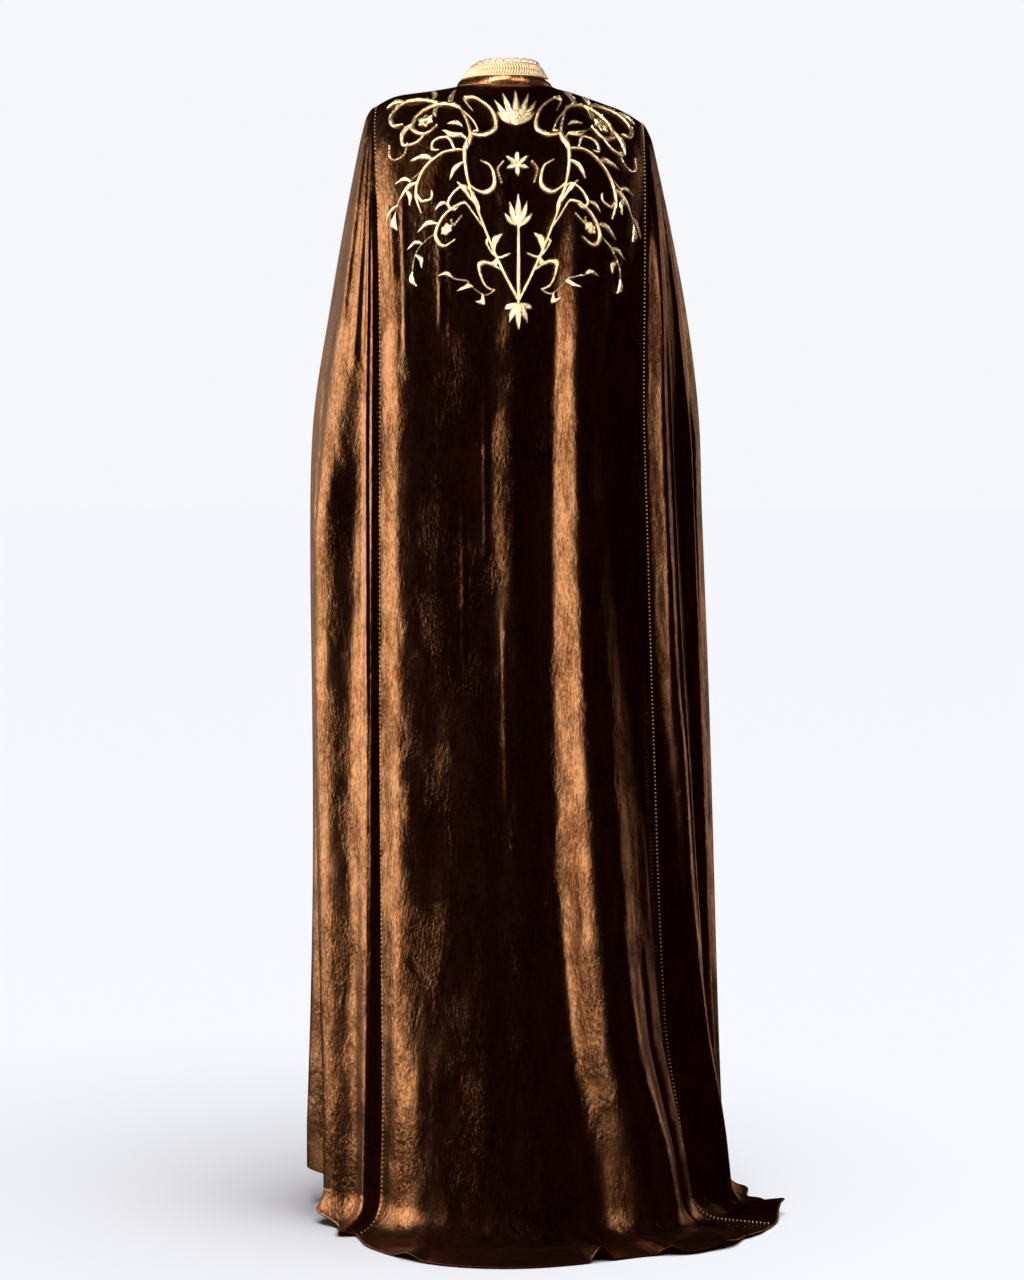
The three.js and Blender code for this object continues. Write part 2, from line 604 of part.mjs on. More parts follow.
// Half rings in a row along the collar's upper edge, each foot joined to the next
function loopChain() {
  const pitch = NECK_LENGTH / LOOP_COUNT;
  const loops = [];
  for (let n = 0; n < LOOP_COUNT; n += 1) {
    const rings = [];
    for (let k = 0; k <= LOOP_SEGMENTS; k += 1) {
      const angle = (Math.PI * k) / LOOP_SEGMENTS;
      const ring = (grow, depth) => [
        pitch * (n + 0.5) - Math.cos(angle) * (pitch / 2 + 0.3 - grow),
        Math.sin(angle) * (LOOP_HEIGHT - grow),
        depth,
      ];
      rings.push([ring(0, 2), ring(LOOP_CORD, 2), ring(LOOP_CORD, 0.4), ring(0, 0.4)]);
    }
    loops.push(bar(rings));
  }
  return wasm.Manifold.union(loops);
}

// Raised work, drawn flat on the right half of the back: distances from the centre and down from the
// upper edge, and the width there as a share of the cord's. The left half is its mirror image.
const CORDS = [
  { line: [[0, 312, 0.9], [22, 276, 1], [46, 236, 1], [66, 196, 1], [70, 154, 1], [60, 116, 1], [70, 84, 1], [98, 64, 1], [126, 72, 1], [136, 96, 1], [120, 113, 0.9], [103, 104, 0.4]] },
  { line: [[60, 116, 0.7], [42, 102, 1], [26, 80, 1], [30, 54, 1], [50, 44, 1], [64, 58, 0.9], [54, 72, 0.4]] },
  { line: [[98, 64, 0.7], [122, 44, 1], [148, 40, 1], [165, 58, 1], [160, 80, 0.9], [148, 84, 0.4]] },
  { line: [[46, 236, 0.7], [74, 226, 1], [100, 234, 1], [114, 256, 1], [104, 276, 0.9], [87, 272, 0.4]] },
  { line: [[22, 276, 0.7], [42, 278, 1], [55, 294, 1], [47, 312, 0.9], [33, 309, 0.4]] },
  { line: [[70, 154, 0.7], [98, 150, 0.9], [126, 164, 0.9], [138, 192, 0.8], [132, 222, 0.3]] },
  { line: [[66, 196, 0.7], [46, 186, 1], [32, 164, 1], [36, 143, 0.9], [50, 145, 0.4]] },
];
const LEAVES = [
  { line: [[58, 214, 0.5], [70, 210, 1.5], [82, 196, 0.2]] },
  { line: [[34, 256, 0.5], [32, 240, 1.5], [22, 226, 0.2]] },
  { line: [[70, 170, 0.5], [84, 176, 1.5], [92, 190, 0.2]] },
  { line: [[84, 72, 0.5], [84, 54, 1.5], [76, 34, 0.2]] },
  { line: [[110, 52, 0.5], [106, 36, 1.4], [112, 18, 0.2]] },
  { line: [[148, 40, 0.5], [160, 32, 1.3], [172, 36, 0.2]] },
  { line: [[134, 88, 0.5], [148, 98, 1.5], [152, 118, 0.2]] },
  { line: [[112, 155, 0.5], [124, 146, 1.5], [142, 146, 0.2]] },
  { line: [[134, 178, 0.5], [148, 180, 1.4], [160, 192, 0.2]] },
  { line: [[110, 244, 0.5], [124, 238, 1.5], [138, 246, 0.2]] },
  { line: [[62, 132, 0.5], [82, 128, 1.5], [96, 116, 0.2]] },
];
const STEM = [[0, 326, 0.7], [0, 290, 1], [0, 250, 0.9], [0, 206, 0.6]];
const PALMETTE_TOP = table(["x", "d"], [[0, 18], [14, 24], [24, 38], [23, 56]]);
const PALMETTE_CROWN = table(["x", "d"], [[0, 168], [12, 180], [19, 198]]);
const PALMETTE_FOOT = table(["x", "d"], [[0, 352], [13, 344], [20, 328]]);
const ROSETTES = table(
  ["name", "x", "d", "radius"],
  [
    ["rosette_centre", 0, 126, 17],
    ["rosette_left", -118, 90, 11],
    ["rosette_right", 118, 90, 11],
    ["rosette_low_left", -99, 255, 8.5],
    ["rosette_low_right", 99, 255, 8.5],
  ],
);

function smooth(line, parts) {
  const curve = new THREE.CatmullRomCurve3(line.map(([x, d, w]) => new THREE.Vector3(x, d, w)));
  return Array.from({ length: parts + 1 }, (_, i) => curve.getPoint(i / parts));
}

// A low rounded cord along a flat line
function cord(line, side, parts) {
  const points = smooth(line, parts);
  const rings = points.map((point, i) => {
    const before = points[Math.max(i - 1, 0)];
    const after = points[Math.min(i + 1, points.length - 1)];
    const along = new THREE.Vector2(after.x - before.x, after.y - before.y).normalize();
    const half = (CORD_WIDTH * Math.max(point.z, 0.2)) / 2;
    const rise = CORD_RISE * clamp(point.z + 0.2, 0.5, 1);
    const corner = (share, up) => [side * (point.x - along.y * half * share), point.y + along.x * half * share, up];
    const ring = [corner(1, 0), corner(0.5, rise), corner(-0.5, rise), corner(-1, 0)];
    return side < 0 ? ring.reverse() : ring;
  });
  return bar(rings);
}

// Leaves that spread from one point to the tips of a table
function palmette(tips, root) {
  const leaves = [];
  for (const { x, d } of tips) {
    for (const side of x ? [-1, 1] : [1]) {
      leaves.push(cord([[0, root, 0.6], [x * 0.6, lerp(root, d, 0.5), 1.6], [x, d, 0.2]], side, 3));
    }
  }
  return leaves;
}

// Goldwork in one joined piece: a short stem, scrolls and leaves on both sides and two palmettes
function goldwork() {
  const pieces = [cord(STEM, 1, 6), ...palmette(PALMETTE_CROWN, 212), ...palmette(PALMETTE_FOOT, 316)];
  for (const side of [-1, 1]) {
    for (const { line } of CORDS) pieces.push(cord(line, side, Math.round(line.length * 1.6)));
    for (const { line } of LEAVES) pieces.push(cord(line, side, 3));
  }
  return wasm.Manifold.union(pieces);
}

// A raised flower with six petals
function rosette(x, d, radius) {
  const petals = [];
  for (let k = 0; k < 6; k += 1) {
    const angle = (Math.PI * (k + 0.5)) / 3;
    const at = (share) => [x + Math.cos(angle) * radius * share, d + Math.sin(angle) * radius * share];
    petals.push(cord([[...at(-0.1), 0.7], [...at(0.6), 1.3], [...at(1), 0.2]], 1, 3));
  }
  return wasm.Manifold.union(petals);
}

// A point over the back panel: a distance from the centre, a length down from the upper edge and a
// height above the flat faces of the panel
function overBack(grid, x, down, height) {
  let i = 0;
  while (i < grid.columns - 1 && grid.points[i + 1][HEAD_ROW + 4].x < x) i += 1;
  const left = grid.points[i][HEAD_ROW + 4].x;
  const across = (x - left) / (grid.points[i + 1][HEAD_ROW + 4].x - left);
  let j = 0;
  let length = 0;
  let step = 0;
  for (; j < grid.rows; j += 1) {
    const from = grid.points[i][j].clone().lerp(grid.points[i + 1][j], across);
    step = from.distanceTo(grid.points[i][j + 1].clone().lerp(grid.points[i + 1][j + 1], across));
    if (length + step >= down) break;
    length += step;
  }
  const below = (down - length) / step;
  const mix = (grids) => {
    const [a, b, c, d] = [grids[i][j], grids[i][j + 1], grids[i + 1][j + 1], grids[i + 1][j]];
    const corner = below >= across ? b : d;
    const toCorner = below >= across ? below : across;
    const toFar = below >= across ? across : below;
    return a.clone().addScaledVector(corner.clone().sub(a), toCorner).addScaledVector(c.clone().sub(corner), toFar);
  };
  return mix(grid.points).addScaledVector(mix(grid.outward).normalize(), height);
}

const velvet = new THREE.MeshStandardMaterial({ color: 0x4a2412, roughness: 0.75, metalness: 0 });
const gold = new THREE.MeshStandardMaterial({ color: 0xd2ab67, roughness: 0.35, metalness: 0.8 });
const braid = new THREE.MeshStandardMaterial({ color: 0xdcc188, roughness: 0.5, metalness: 0.5 });

const cape = new THREE.Group();

function addMesh(name, geometry, material) {
  const mesh = new THREE.Mesh(geometry, material);
  mesh.name = name;
  cape.add(mesh);
}

const backGrid = panelGrid("back", BACK_COLUMNS);
addMesh("back", panelWall(backGrid), velvet);
addMesh("side_left", panelWall(panelGrid("left", SIDE_COLUMNS)), velvet);
addMesh("side_right", panelWall(panelGrid("right", SIDE_COLUMNS)), velvet);
addMesh("front_left", panelWall(panelGrid("front_left", FRONT_COLUMNS)), velvet);
addMesh("front_right", panelWall(panelGrid("front_right", FRONT_COLUMNS)), velvet);
addMesh("collar_stand", collarBand(SEAM_GAP, SEAM_GAP + STAND_HEIGHT), velvet);
const braidFoot = 2 * SEAM_GAP + STAND_HEIGHT;
addMesh("collar_braid", collarBand(braidFoot, braidFoot + BRAID_HEIGHT), braid);
const loopFoot = braidFoot + BRAID_HEIGHT + SEAM_GAP;
addMesh("collar_loops", bent(loopChain(), (length, up, depth) => onCollar(length, loopFoot + up, depth)), gold);
addMesh("goldwork", bent(goldwork(), (x, down, up) => overBack(backGrid, x, down, LIFT + up)), gold);
const topPalmette = wasm.Manifold.union(palmette(PALMETTE_TOP, 70));
addMesh("palmette", bent(topPalmette, (x, down, up) => overBack(backGrid, x, down, SMALL_LIFT + up)), gold);
for (const { name, x, d, radius } of ROSETTES) {
  addMesh(name, bent(rosette(x, d, radius), (u, v, up) => overBack(backGrid, u, v, SMALL_LIFT + up)), gold);
}

export default cape;
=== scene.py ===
import math

import bpy
import numpy as np
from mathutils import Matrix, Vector


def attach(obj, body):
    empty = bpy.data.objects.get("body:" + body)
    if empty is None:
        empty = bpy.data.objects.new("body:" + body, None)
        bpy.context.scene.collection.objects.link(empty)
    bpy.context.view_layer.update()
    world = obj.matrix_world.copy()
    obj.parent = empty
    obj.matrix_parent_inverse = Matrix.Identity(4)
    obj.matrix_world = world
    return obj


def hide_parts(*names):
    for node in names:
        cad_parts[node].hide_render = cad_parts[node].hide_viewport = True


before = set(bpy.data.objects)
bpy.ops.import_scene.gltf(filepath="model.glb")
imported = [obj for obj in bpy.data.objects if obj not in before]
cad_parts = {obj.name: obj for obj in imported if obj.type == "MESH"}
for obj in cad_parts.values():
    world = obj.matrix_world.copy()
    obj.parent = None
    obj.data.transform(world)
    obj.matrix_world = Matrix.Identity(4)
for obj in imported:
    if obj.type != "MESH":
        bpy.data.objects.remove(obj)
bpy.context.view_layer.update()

MM = 0.001

# Driving sizes in millimetres, the same as those of the solids
NECK_HEIGHT = 1570
FLOOR = -NECK_HEIGHT
CLOTH = 2.2
SEAM_GAP = 0.3
NECK_HALF_WIDTH = 68
NECK_BACK = 66
NECK_FRONT = 72
NECK_CENTRE = 2
NAPE_RISE = -3
FRONT_NECK_DROP = 104
SHOULDER_LEFT = 181
SHOULDER_RIGHT = 195
SHOULDER_DROP = 38
SHOULDER_TILT = 8
FRONT_GAP_AT_NECK = 22
FRONT_GAP_AT_HEM = 70
YOKE_LEVEL = -160
SKIRT_LEVEL = 120
FOOT_RADIUS = 45
FALL_TO_BEND = SKIRT_LEVEL - FOOT_RADIUS
BACK_ROUND = 112
SEAM_ROUND = 80
SIDE_ROUND = 24
FRONT_ROUND = 72
COLLAR_LEAN = 36
STAND_HEIGHT = 12
BRAID_HEIGHT = 17
LOOP_HEIGHT = 7
LOOP_COUNT = 40
CORD_WIDTH = 5.4
CORD_RISE = 2.4
# How far down the yoke a side panel's head starts at its seams
HEAD_PART = 0.17
# What a front seam sinks, as a share of a back one
FRONT_SEAM_SINK = 0.8
NECK_SHARE_OF_BACK = 0.36
NECK_SHARE_OF_FRONT = 0.42
FRONT_NECK_END = math.pi - math.asin(FRONT_GAP_AT_NECK / 2 / NECK_HALF_WIDTH)


def lerp(a, b, t):
    return a + (b - a) * t


def ease(t):
    return t * t * (3 - 2 * t)


def arc_lengths(points):
    """How far along a line of points each one lies."""
    return np.concatenate([[0], np.cumsum(np.linalg.norm(np.diff(points, axis=0), axis=1))])


def bump(t):
    return np.where(np.abs(t) < 1, np.cos(np.clip(t, -1, 1) * np.pi / 2) ** 2, 0.0)


def read(rows, at, column):
    """A column of a table at each key, on a smooth curve through its rows. The key is column 0."""
    rows = np.asarray(rows, float)
    if rows[0, 0] > rows[-1, 0]:
        rows = rows[::-1]
    at = np.asarray(at, float)
    key, value = rows[:, 0], rows[:, column]
    slope = np.empty(len(key))
    slope[1:-1] = (value[2:] - value[:-2]) / (key[2:] - key[:-2])
    slope[0] = (value[1] - value[0]) / (key[1] - key[0])
    slope[-1] = (value[-1] - value[-2]) / (key[-1] - key[-2])
    i = np.clip(np.searchsorted(key, at) - 1, 0, len(key) - 2)
    span = key[i + 1] - key[i]
    t = np.clip((at - key[i]) / span, 0, 1)
    return (
        (2 * t**3 - 3 * t**2 + 1) * value[i]
        + (t**3 - 2 * t**2 + t) * span * slope[i]
        + (3 * t**2 - 2 * t**3) * value[i + 1]
        + (t**3 - t**2) * span * slope[i + 1]
    )


# height, left, right, back, front, square, seam left, seam right, seam front, sink left, sink right, spread
SECTIONS = [
    (1590, 182, 196, 90, 72, 2.3, 180, 192, 181, 0, 0, 1),
    (1520, 194, 201, 100, 80, 2.4, 188, 191, 180, 1, 1, 1),
    (1490, 201, 207, 107, 92, 2.5, 190, 190, 177, 2, 3, 1),
    (1397, 219, 225, 117, 110, 2.6, 190, 189, 172, 4, 7, 1),
    (1257, 242, 249, 122, 128, 2.7, 190, 186, 166, 6, 11, 1),
    (1117, 262, 265, 124, 138, 2.7, 191, 184, 164, 7, 12, 1),
    (977, 266, 269, 128, 142, 2.7, 192, 188, 164, 7, 12, 1),
    (697, 260, 278, 146, 154, 2.6, 194, 195, 166, 7, 12, 1.05),
    (277, 250, 288, 192, 182, 2.4, 197, 210, 172, 9, 13, 1.2),
    (137, 248, 294, 218, 192, 2.3, 199, 232, 176, 10, 13, 1.3),
    (45, 248, 300, 232, 198, 2.2, 201, 246, 180, 9, 11, 1.4),
]
(HEIGHT, LEFT, RIGHT, BACK, FRONT, SQUARE, SEAM_LEFT, SEAM_RIGHT, SEAM_FRONT,
 SINK_LEFT, SINK_RIGHT, SPREAD) = range(12)
# How wide the cloth sinks on each side of a seam
REACH = {"back_left": 30, "side_left": 8, "back_right": 42, "side_right": 18, "front": 22}

# Folds: panel, then the crest's place, rise and reach at five heights, and its lean. A lean above
# nought makes the flank towards the start of the panel shorter and the other one longer.
FOLD_HEIGHTS = (1420, 1200, 900, 500, 110)
FOLDS = [
    ("back", (0.11, 0.11, 0.11, 0.11, 0.11), (0, 3, 4, 4, 2), (0.1, 0.1, 0.1, 0.1, 0.1), 0),
    ("back", (0.3, 0.3, 0.3, 0.31, 0.33), (0, 0, 2, 7, 12), (0.15, 0.15, 0.16, 0.2, 0.25), 0),
    ("back", (0.49, 0.49, 0.48, 0.48, 0.5), (0, 6, 8, 4, 2), (0.09, 0.09, 0.09, 0.09, 0.09), 0),
    ("back", (0.715, 0.715, 0.712, 0.725, 0.757), (7, 22, 28, 38, 40), (0.14, 0.14, 0.16, 0.2, 0.19), 0.35),
    ("back", (0.8, 0.8, 0.8, 0.8, 0.83), (0, 0, 0, 5, 14), (0.05, 0.05, 0.05, 0.05, 0.06), 0),
    ("back", (0.93, 0.93, 0.93, 0.93, 0.93), (0, 0, 0, 4, 12), (0.05, 0.05, 0.05, 0.05, 0.05), 0),
    ("left", (0.04, 0.035, 0.035, 0.04, 0.045), (1, 1, 2, 6, 12), (0.04, 0.035, 0.035, 0.06, 0.07), 0.3),
    ("left", (0.22, 0.2, 0.25, 0.26, 0.26), (3, 7, 20, 24, 28), (0.12, 0.12, 0.15, 0.14, 0.13), 0),
    ("left", (0.36, 0.36, 0.36, 0.37, 0.38), (0, -2, -5, -12, -20), (0.06, 0.06, 0.06, 0.07, 0.08), 0),
    ("left", (0.5, 0.5, 0.52, 0.56, 0.6), (2, 4, 8, 16, 34), (0.09, 0.1, 0.11, 0.12, 0.13), 0),
    ("left", (0.84, 0.84, 0.84, 0.84, 0.85), (2, 4, 8, 12, 16), (0.08, 0.09, 0.09, 0.1, 0.1), 0),
    ("right", (0.06, 0.065, 0.075, 0.11, 0.14), (4, 7, 9, 12, 22), (0.06, 0.06, 0.07, 0.09, 0.1), 0.1),
    ("right", (0.2, 0.2, 0.22, 0.24, 0.26), (2, 5, 8, 10, 12), (0.04, 0.045, 0.05, 0.06, 0.07), 0.2),
    ("right", (0.34, 0.34, 0.35, 0.38, 0.4), (3, 7, 10, 14, 18), (0.07, 0.08, 0.09, 0.1, 0.1), 0.1),
    ("right", (0.5, 0.51, 0.52, 0.54, 0.57), (-2, -4, -5, -8, -12), (0.07, 0.08, 0.08, 0.09, 0.09), 0),
    ("right", (0.64, 0.64, 0.65, 0.68, 0.7), (3, 5, 8, 12, 18), (0.08, 0.09, 0.09, 0.1, 0.1), 0),
    ("right", (0.85, 0.85, 0.85, 0.86, 0.87), (2, 4, 7, 11, 14), (0.08, 0.08, 0.08, 0.08, 0.08), 0),
    ("front", (0.22, 0.22, 0.22, 0.23, 0.24), (0, 5, 9, 14, 20), (0.14, 0.14, 0.15, 0.16, 0.17), 0),
    ("front", (0.46, 0.46, 0.46, 0.47, 0.48), (0, -4, -7, -12, -16), (0.13, 0.13, 0.13, 0.14, 0.14), 0),
    ("front", (0.72, 0.72, 0.72, 0.72, 0.72), (0, 5, 9, 15, 22), (0.14, 0.14, 0.15, 0.16, 0.17), 0),
]

# Small creases and crests on top of the folds: panel, heights where they start
# and end, places there and half way down, rise, reach in millimetres and lean
CREASES = [
    ("left", 1440, 200, 0.018, 0.02, 0.02, 2.2, 5, 0.2),
    ("left", 1480, 640, 0.055, 0.05, 0.04, 2.4, 6, 0.3),
    ("left", 1500, 1160, 0.1, 0.11, 0.12, 2.6, 9, 0),
    ("left", 1490, 1220, 0.17, 0.18, 0.2, 2.6, 10, 0.2),
    ("left", 900, 160, 0.31, 0.3, 0.3, 2.4, 8, 0.3),
    ("left", 1100, 120, 0.43, 0.44, 0.46, 3.0, 10, 0),
    ("back", 1400, 1290, 0.055, 0.057, 0.06, 2.6, 9, 0.3),
    ("back", 1420, 1180, 0.1, 0.1, 0.1, 1.6, 7, 0.3),
    ("back", 1350, 1220, 0.225, 0.225, 0.225, 1.4, 7, 0.3),
    ("back", 1340, 1200, 0.87, 0.87, 0.87, 1.5, 7, 0.3),
    ("back", 1180, 900, 0.385, 0.383, 0.382, 1.2, 8, 0.3),
    ("back", 1000, 760, 0.3, 0.3, 0.3, 1.0, 6, 0.3),
    ("back", 860, 560, 0.44, 0.44, 0.44, 1.0, 7, 0.3),
    ("back", 420, 60, 0.885, 0.89, 0.895, 3.0, 9, 0.3),
    ("back", 330, 60, 0.96, 0.965, 0.97, 3.4, 10, 0.3),
    ("right", 1400, 620, 0.042, 0.045, 0.06, 5.5, 11, 0.3),
    ("right", 740, 60, 0.065, 0.085, 0.14, 7, 14, 0.3),
    ("right", 1300, 300, 0.105, 0.11, 0.14, 3.4, 7, 0.4),
    ("right", 1200, 250, 0.2, 0.205, 0.22, 4.2, 8, 0.4),
    ("right", 1180, 420, 0.28, 0.28, 0.3, 4.5, 9, 0.3),
    ("front", 1300, 150, 0.34, 0.34, 0.35, 2.4, 9, 0),
    ("front", 1200, 150, 0.6, 0.6, 0.6, 2.4, 9, 0),
]

# The share of its height over which a crease fades. One that ends at or below OPEN_END runs on out.
CREASE_FADE = 0.15
OPEN_END = 80

# Where the nap was stroked aside: panel, half width as a share, degrees it leans to the left of the
# cloth's own face, then heights and places down the stroke
NAP = [
    ("back", 0.07, 8, [(1160, 0.4), (800, 0.4)]),
    ("back", 0.1, -5, [(1230, 0.25), (700, 0.25)]),
    ("back", 0.13, -9, [(640, 0.2), (-60, 0.22)]),
    ("back", 0.13, -8, [(260, 0.2), (-60, 0.22)]),
    ("back", 0.055, 15, [(560, 0.655), (300, 0.66), (150, 0.69)]),
    ("back", 0.05, -12, [(460, 0.79), (120, 0.82)]),
    ("left", 0.08, -18, [(1080, 0.17), (880, 0.17)]),
]
# The height over which a stroke fades at each of its ends
STROKE_FADE = 90

# bearing from the back centre, length of cloth below the skirt level
HEM = [
    (-180, 66), (-130, 68), (-112, 69), (-98, 70), (-84, 86), (-72, 110), (-62, 134), (-53, 148),
    (-42, 174), (-25, 212), (-6, 228), (10, 222), (20, 216), (38, 214), (50, 208), (60, 218),
    (70, 182), (82, 148), (96, 116), (112, 88), (130, 72), (180, 66),
]
# bearing, reach, lift
HEM_WAVES = [(-57, 7, 4), (-31, 5, 7), (12, 3.4, 20), (28, 4, 9), (41, 4.5, 4), (69, 9, 14)]
SHOULDER_LINE = [(0, 0), (0.2, 5.5), (0.32, 9), (0.55, 15.5), (0.75, 22), (0.92, 32), (1, SHOULDER_DROP)]

SIDE = {"back": 0, "left": -1, "right": 1, "front_left": -1, "front_right": 1}
# Rough widths of the panels, which turn a crease's reach into a share
PANEL_WIDTH = {"back": 400, "left": 300, "right": 320, "front": 200}
FOLDS_OF = {"back": "back", "left": "left", "right": "right", "front_left": "front", "front_right": "front"}

# The outline at a ladder of heights, each as two halves from the back centre to the front centre
HEIGHT_STEP = 5
STEPS = 160


def make_sections():
    made = []
    for height in range(0, 1601, HEIGHT_STEP):
        plan = [height] + [float(read(SECTIONS, height, column)) for column in range(HEIGHT + 1, SPREAD + 1)]
        halves = []
        for side, width, seam in ((-1, plan[LEFT], plan[SEAM_LEFT]), (1, plan[RIGHT], plan[SEAM_RIGHT])):
            angle = np.linspace(0, np.pi, STEPS + 1)
            depth = np.where(angle < np.pi / 2, plan[BACK], plan[FRONT])
            power = 2 / plan[SQUARE]
            x = side * width * np.abs(np.sin(angle)) ** power
            y = -np.sign(np.cos(angle)) * depth * np.abs(np.cos(angle)) ** power
            arc = np.concatenate([[0], np.cumsum(np.hypot(np.diff(x), np.diff(y)))])
            middle = STEPS // 2
            gap = lerp(FRONT_GAP_AT_HEM, FRONT_GAP_AT_NECK, min(height / NECK_HEIGHT, 1)) / 2
            back_seam = np.interp(seam, np.abs(x[: middle + 1]), arc[: middle + 1])
            front_x, front_arc = np.abs(x[middle:])[::-1], arc[middle:][::-1]
            front_seam = np.interp(plan[SEAM_FRONT], front_x, front_arc)
            front_edge = np.interp(gap, front_x, front_arc)
            out_x = side * np.gradient(y)
            out_y = -side * np.gradient(x)
            size = np.maximum(np.hypot(out_x, out_y), 1e-9)
            halves.append(dict(arc=arc, x=x, y=y, out_x=out_x / size, out_y=out_y / size,
                               back_seam=back_seam, front_seam=front_seam, front_edge=front_edge))
        made.append(halves)
    return made


LADDER = make_sections()


def on_rung(panel, share, rung):
    """Plan place, outward direction, arc and seam arcs at one height of the ladder."""
    left, right = LADDER[rung]
    side = SIDE[panel]
    half = left if side < 0 else right
    if panel == "back":
        arc = lerp(-left["back_seam"], right["back_seam"], share)
    elif panel.startswith("front"):
        arc = side * lerp(half["front_seam"], half["front_edge"], share)
    else:
        arc = side * lerp(half["back_seam"], half["front_seam"], share)
    on_left, on_right = ([np.interp(np.abs(arc), half["arc"], half[k]) for k in ("x", "y", "out_x", "out_y")]
                         for half in (left, right))
    found = np.where(arc < 0, on_left, on_right)
    back_seam = np.where(arc < 0, left["back_seam"], right["back_seam"])
    front_seam = np.where(arc < 0, left["front_seam"], right["front_seam"])
    return np.stack([*found, arc, back_seam, front_seam])


def hanging(panel, share, height):
    """Plan position of the hanging cloth, for arrays of shares and heights above the floor."""
    share, height = np.broadcast_arrays(np.asarray(share, float), np.asarray(height, float))
    shape = share.shape
    share, height = share.ravel(), height.ravel()
    level = np.clip(height / HEIGHT_STEP, 0, len(LADDER) - 1.001)
    rung = level.astype(int)
    found = np.zeros((7, share.size))
    for k in np.unique(rung):
        here = rung == k
        t = (level - k)[here]
        found[:, here] = on_rung(panel, share[here], k) * (1 - t) + on_rung(panel, share[here], k + 1) * t
    x, y, out_x, out_y, arc, back_seam, front_seam = found
    edge = share if panel.startswith("front") else np.minimum(share, 1 - share)
    out = np.zeros(share.size)
    for of, place, rise, reach, lean in FOLDS:
        if of != FOLDS_OF[panel]:
            continue
        rows = list(zip(FOLD_HEIGHTS, place, rise, reach))
        away = share - read(rows, height, 1)
        out += read(rows, height, 2) * bump(away / (read(rows, height, 3) * (1 + lean * np.sign(away))))
    out *= ease(np.clip(edge / 0.05, 0, 1))
    wide = PANEL_WIDTH[FOLDS_OF[panel]]
    for of, start, end, place, middle, foot, rise, reach, lean in CREASES:
        if of != FOLDS_OF[panel]:
            continue
        t = np.clip((start - height) / (start - end), -1, 2)
        crest = np.where(t < 0.5, lerp(place, middle, t * 2), lerp(middle, foot, t * 2 - 1))
        fade = ease(np.clip(t / CREASE_FADE, 0, 1))
        if end > OPEN_END:
            fade = fade * ease(np.clip((1 - t) / CREASE_FADE, 0, 1))
        away = (share - crest) * wide
        out += rise * fade * bump(away / (reach * (1 + lean * np.sign(away))))
    left = arc < 0
    beyond = np.abs(arc) - back_seam
    reach = np.where(beyond < 0, np.where(left, REACH["back_left"], REACH["back_right"]),
                     np.where(left, REACH["side_left"], REACH["side_right"]))
    spread = read(SECTIONS, height, SPREAD)
    sink = np.where(left, read(SECTIONS, height, SINK_LEFT), read(SECTIONS, height, SINK_RIGHT))
    out -= sink * bump(beyond / (reach * spread))
    out -= FRONT_SEAM_SINK * sink * bump((np.abs(arc) - front_seam) / (REACH["front"] * spread))
    made = np.stack([x + out_x * out, y + out_y * out, x, y, out])
    return made.reshape(5, *shape)


def neck_point(angle, side):
    back = np.cos(angle)
    depth = np.where(back > 0, NECK_BACK, NECK_FRONT)
    z = np.where(back > 0, NAPE_RISE * back, -FRONT_NECK_DROP * np.abs(np.minimum(back, 0)) ** 1.1)
    return np.stack([side * NECK_HALF_WIDTH * np.sin(angle), NECK_CENTRE - depth * back, z])


def shoulder_point(share, side):
    drop = read(SHOULDER_LINE, share, 1)
    reach = np.where(np.asarray(side) < 0, SHOULDER_LEFT, SHOULDER_RIGHT)
    return np.stack([side * lerp(NECK_HALF_WIDTH, reach, share), lerp(NECK_CENTRE, 0, share),
                     -drop - side * SHOULDER_TILT * ease(share)])


def upper_edge(panel, share):
    share = np.asarray(share, float)
    if panel == "back":
        side = np.where(share < 0.5, -1, 1)
        out = np.abs(share - 0.5) * 2
        at_neck = neck_point(np.clip(out / NECK_SHARE_OF_BACK, 0, 1) * np.pi / 2, side)
        past_neck = (out - NECK_SHARE_OF_BACK) / (1 - NECK_SHARE_OF_BACK)
        at_shoulder = shoulder_point(np.clip(past_neck, 0, 1), side)
        return np.where(out < NECK_SHARE_OF_BACK, at_neck, at_shoulder)
    side = SIDE[panel]
    if panel.startswith("front"):
        shoulder = 1 - NECK_SHARE_OF_FRONT
        at_shoulder = shoulder_point(1 - np.clip(share / shoulder, 0, 1), side)
        angle = lerp(np.pi / 2, FRONT_NECK_END, np.clip((share - shoulder) / NECK_SHARE_OF_FRONT, 0, 1))
        return np.where(share < shoulder, at_shoulder, neck_point(angle, side))
    return shoulder_point(np.ones_like(share), side)


def round_of(panel, share):
    if panel == "back":
        return lerp(SEAM_ROUND, BACK_ROUND, ease(np.clip(np.minimum(share, 1 - share) / 0.2, 0, 1)))
    if panel.startswith("front"):
        return lerp(SEAM_ROUND, FRONT_ROUND, ease(np.clip(share / 0.4, 0, 1)))
    return lerp(SIDE_ROUND, SEAM_ROUND, np.abs(1 - 2 * share) ** 2)


def yoke_point(panel, share, z):
    top = upper_edge(panel, share)
    fall = np.clip((top[2] - z) / round_of(panel, share), 0, 1)
    turn = np.sqrt(1 - (1 - fall) ** 2)
    wall = hanging(panel, share, z - FLOOR)
    return np.stack([lerp(top[0], wall[0], turn), lerp(top[1], wall[1], turn), z + 0 * share])


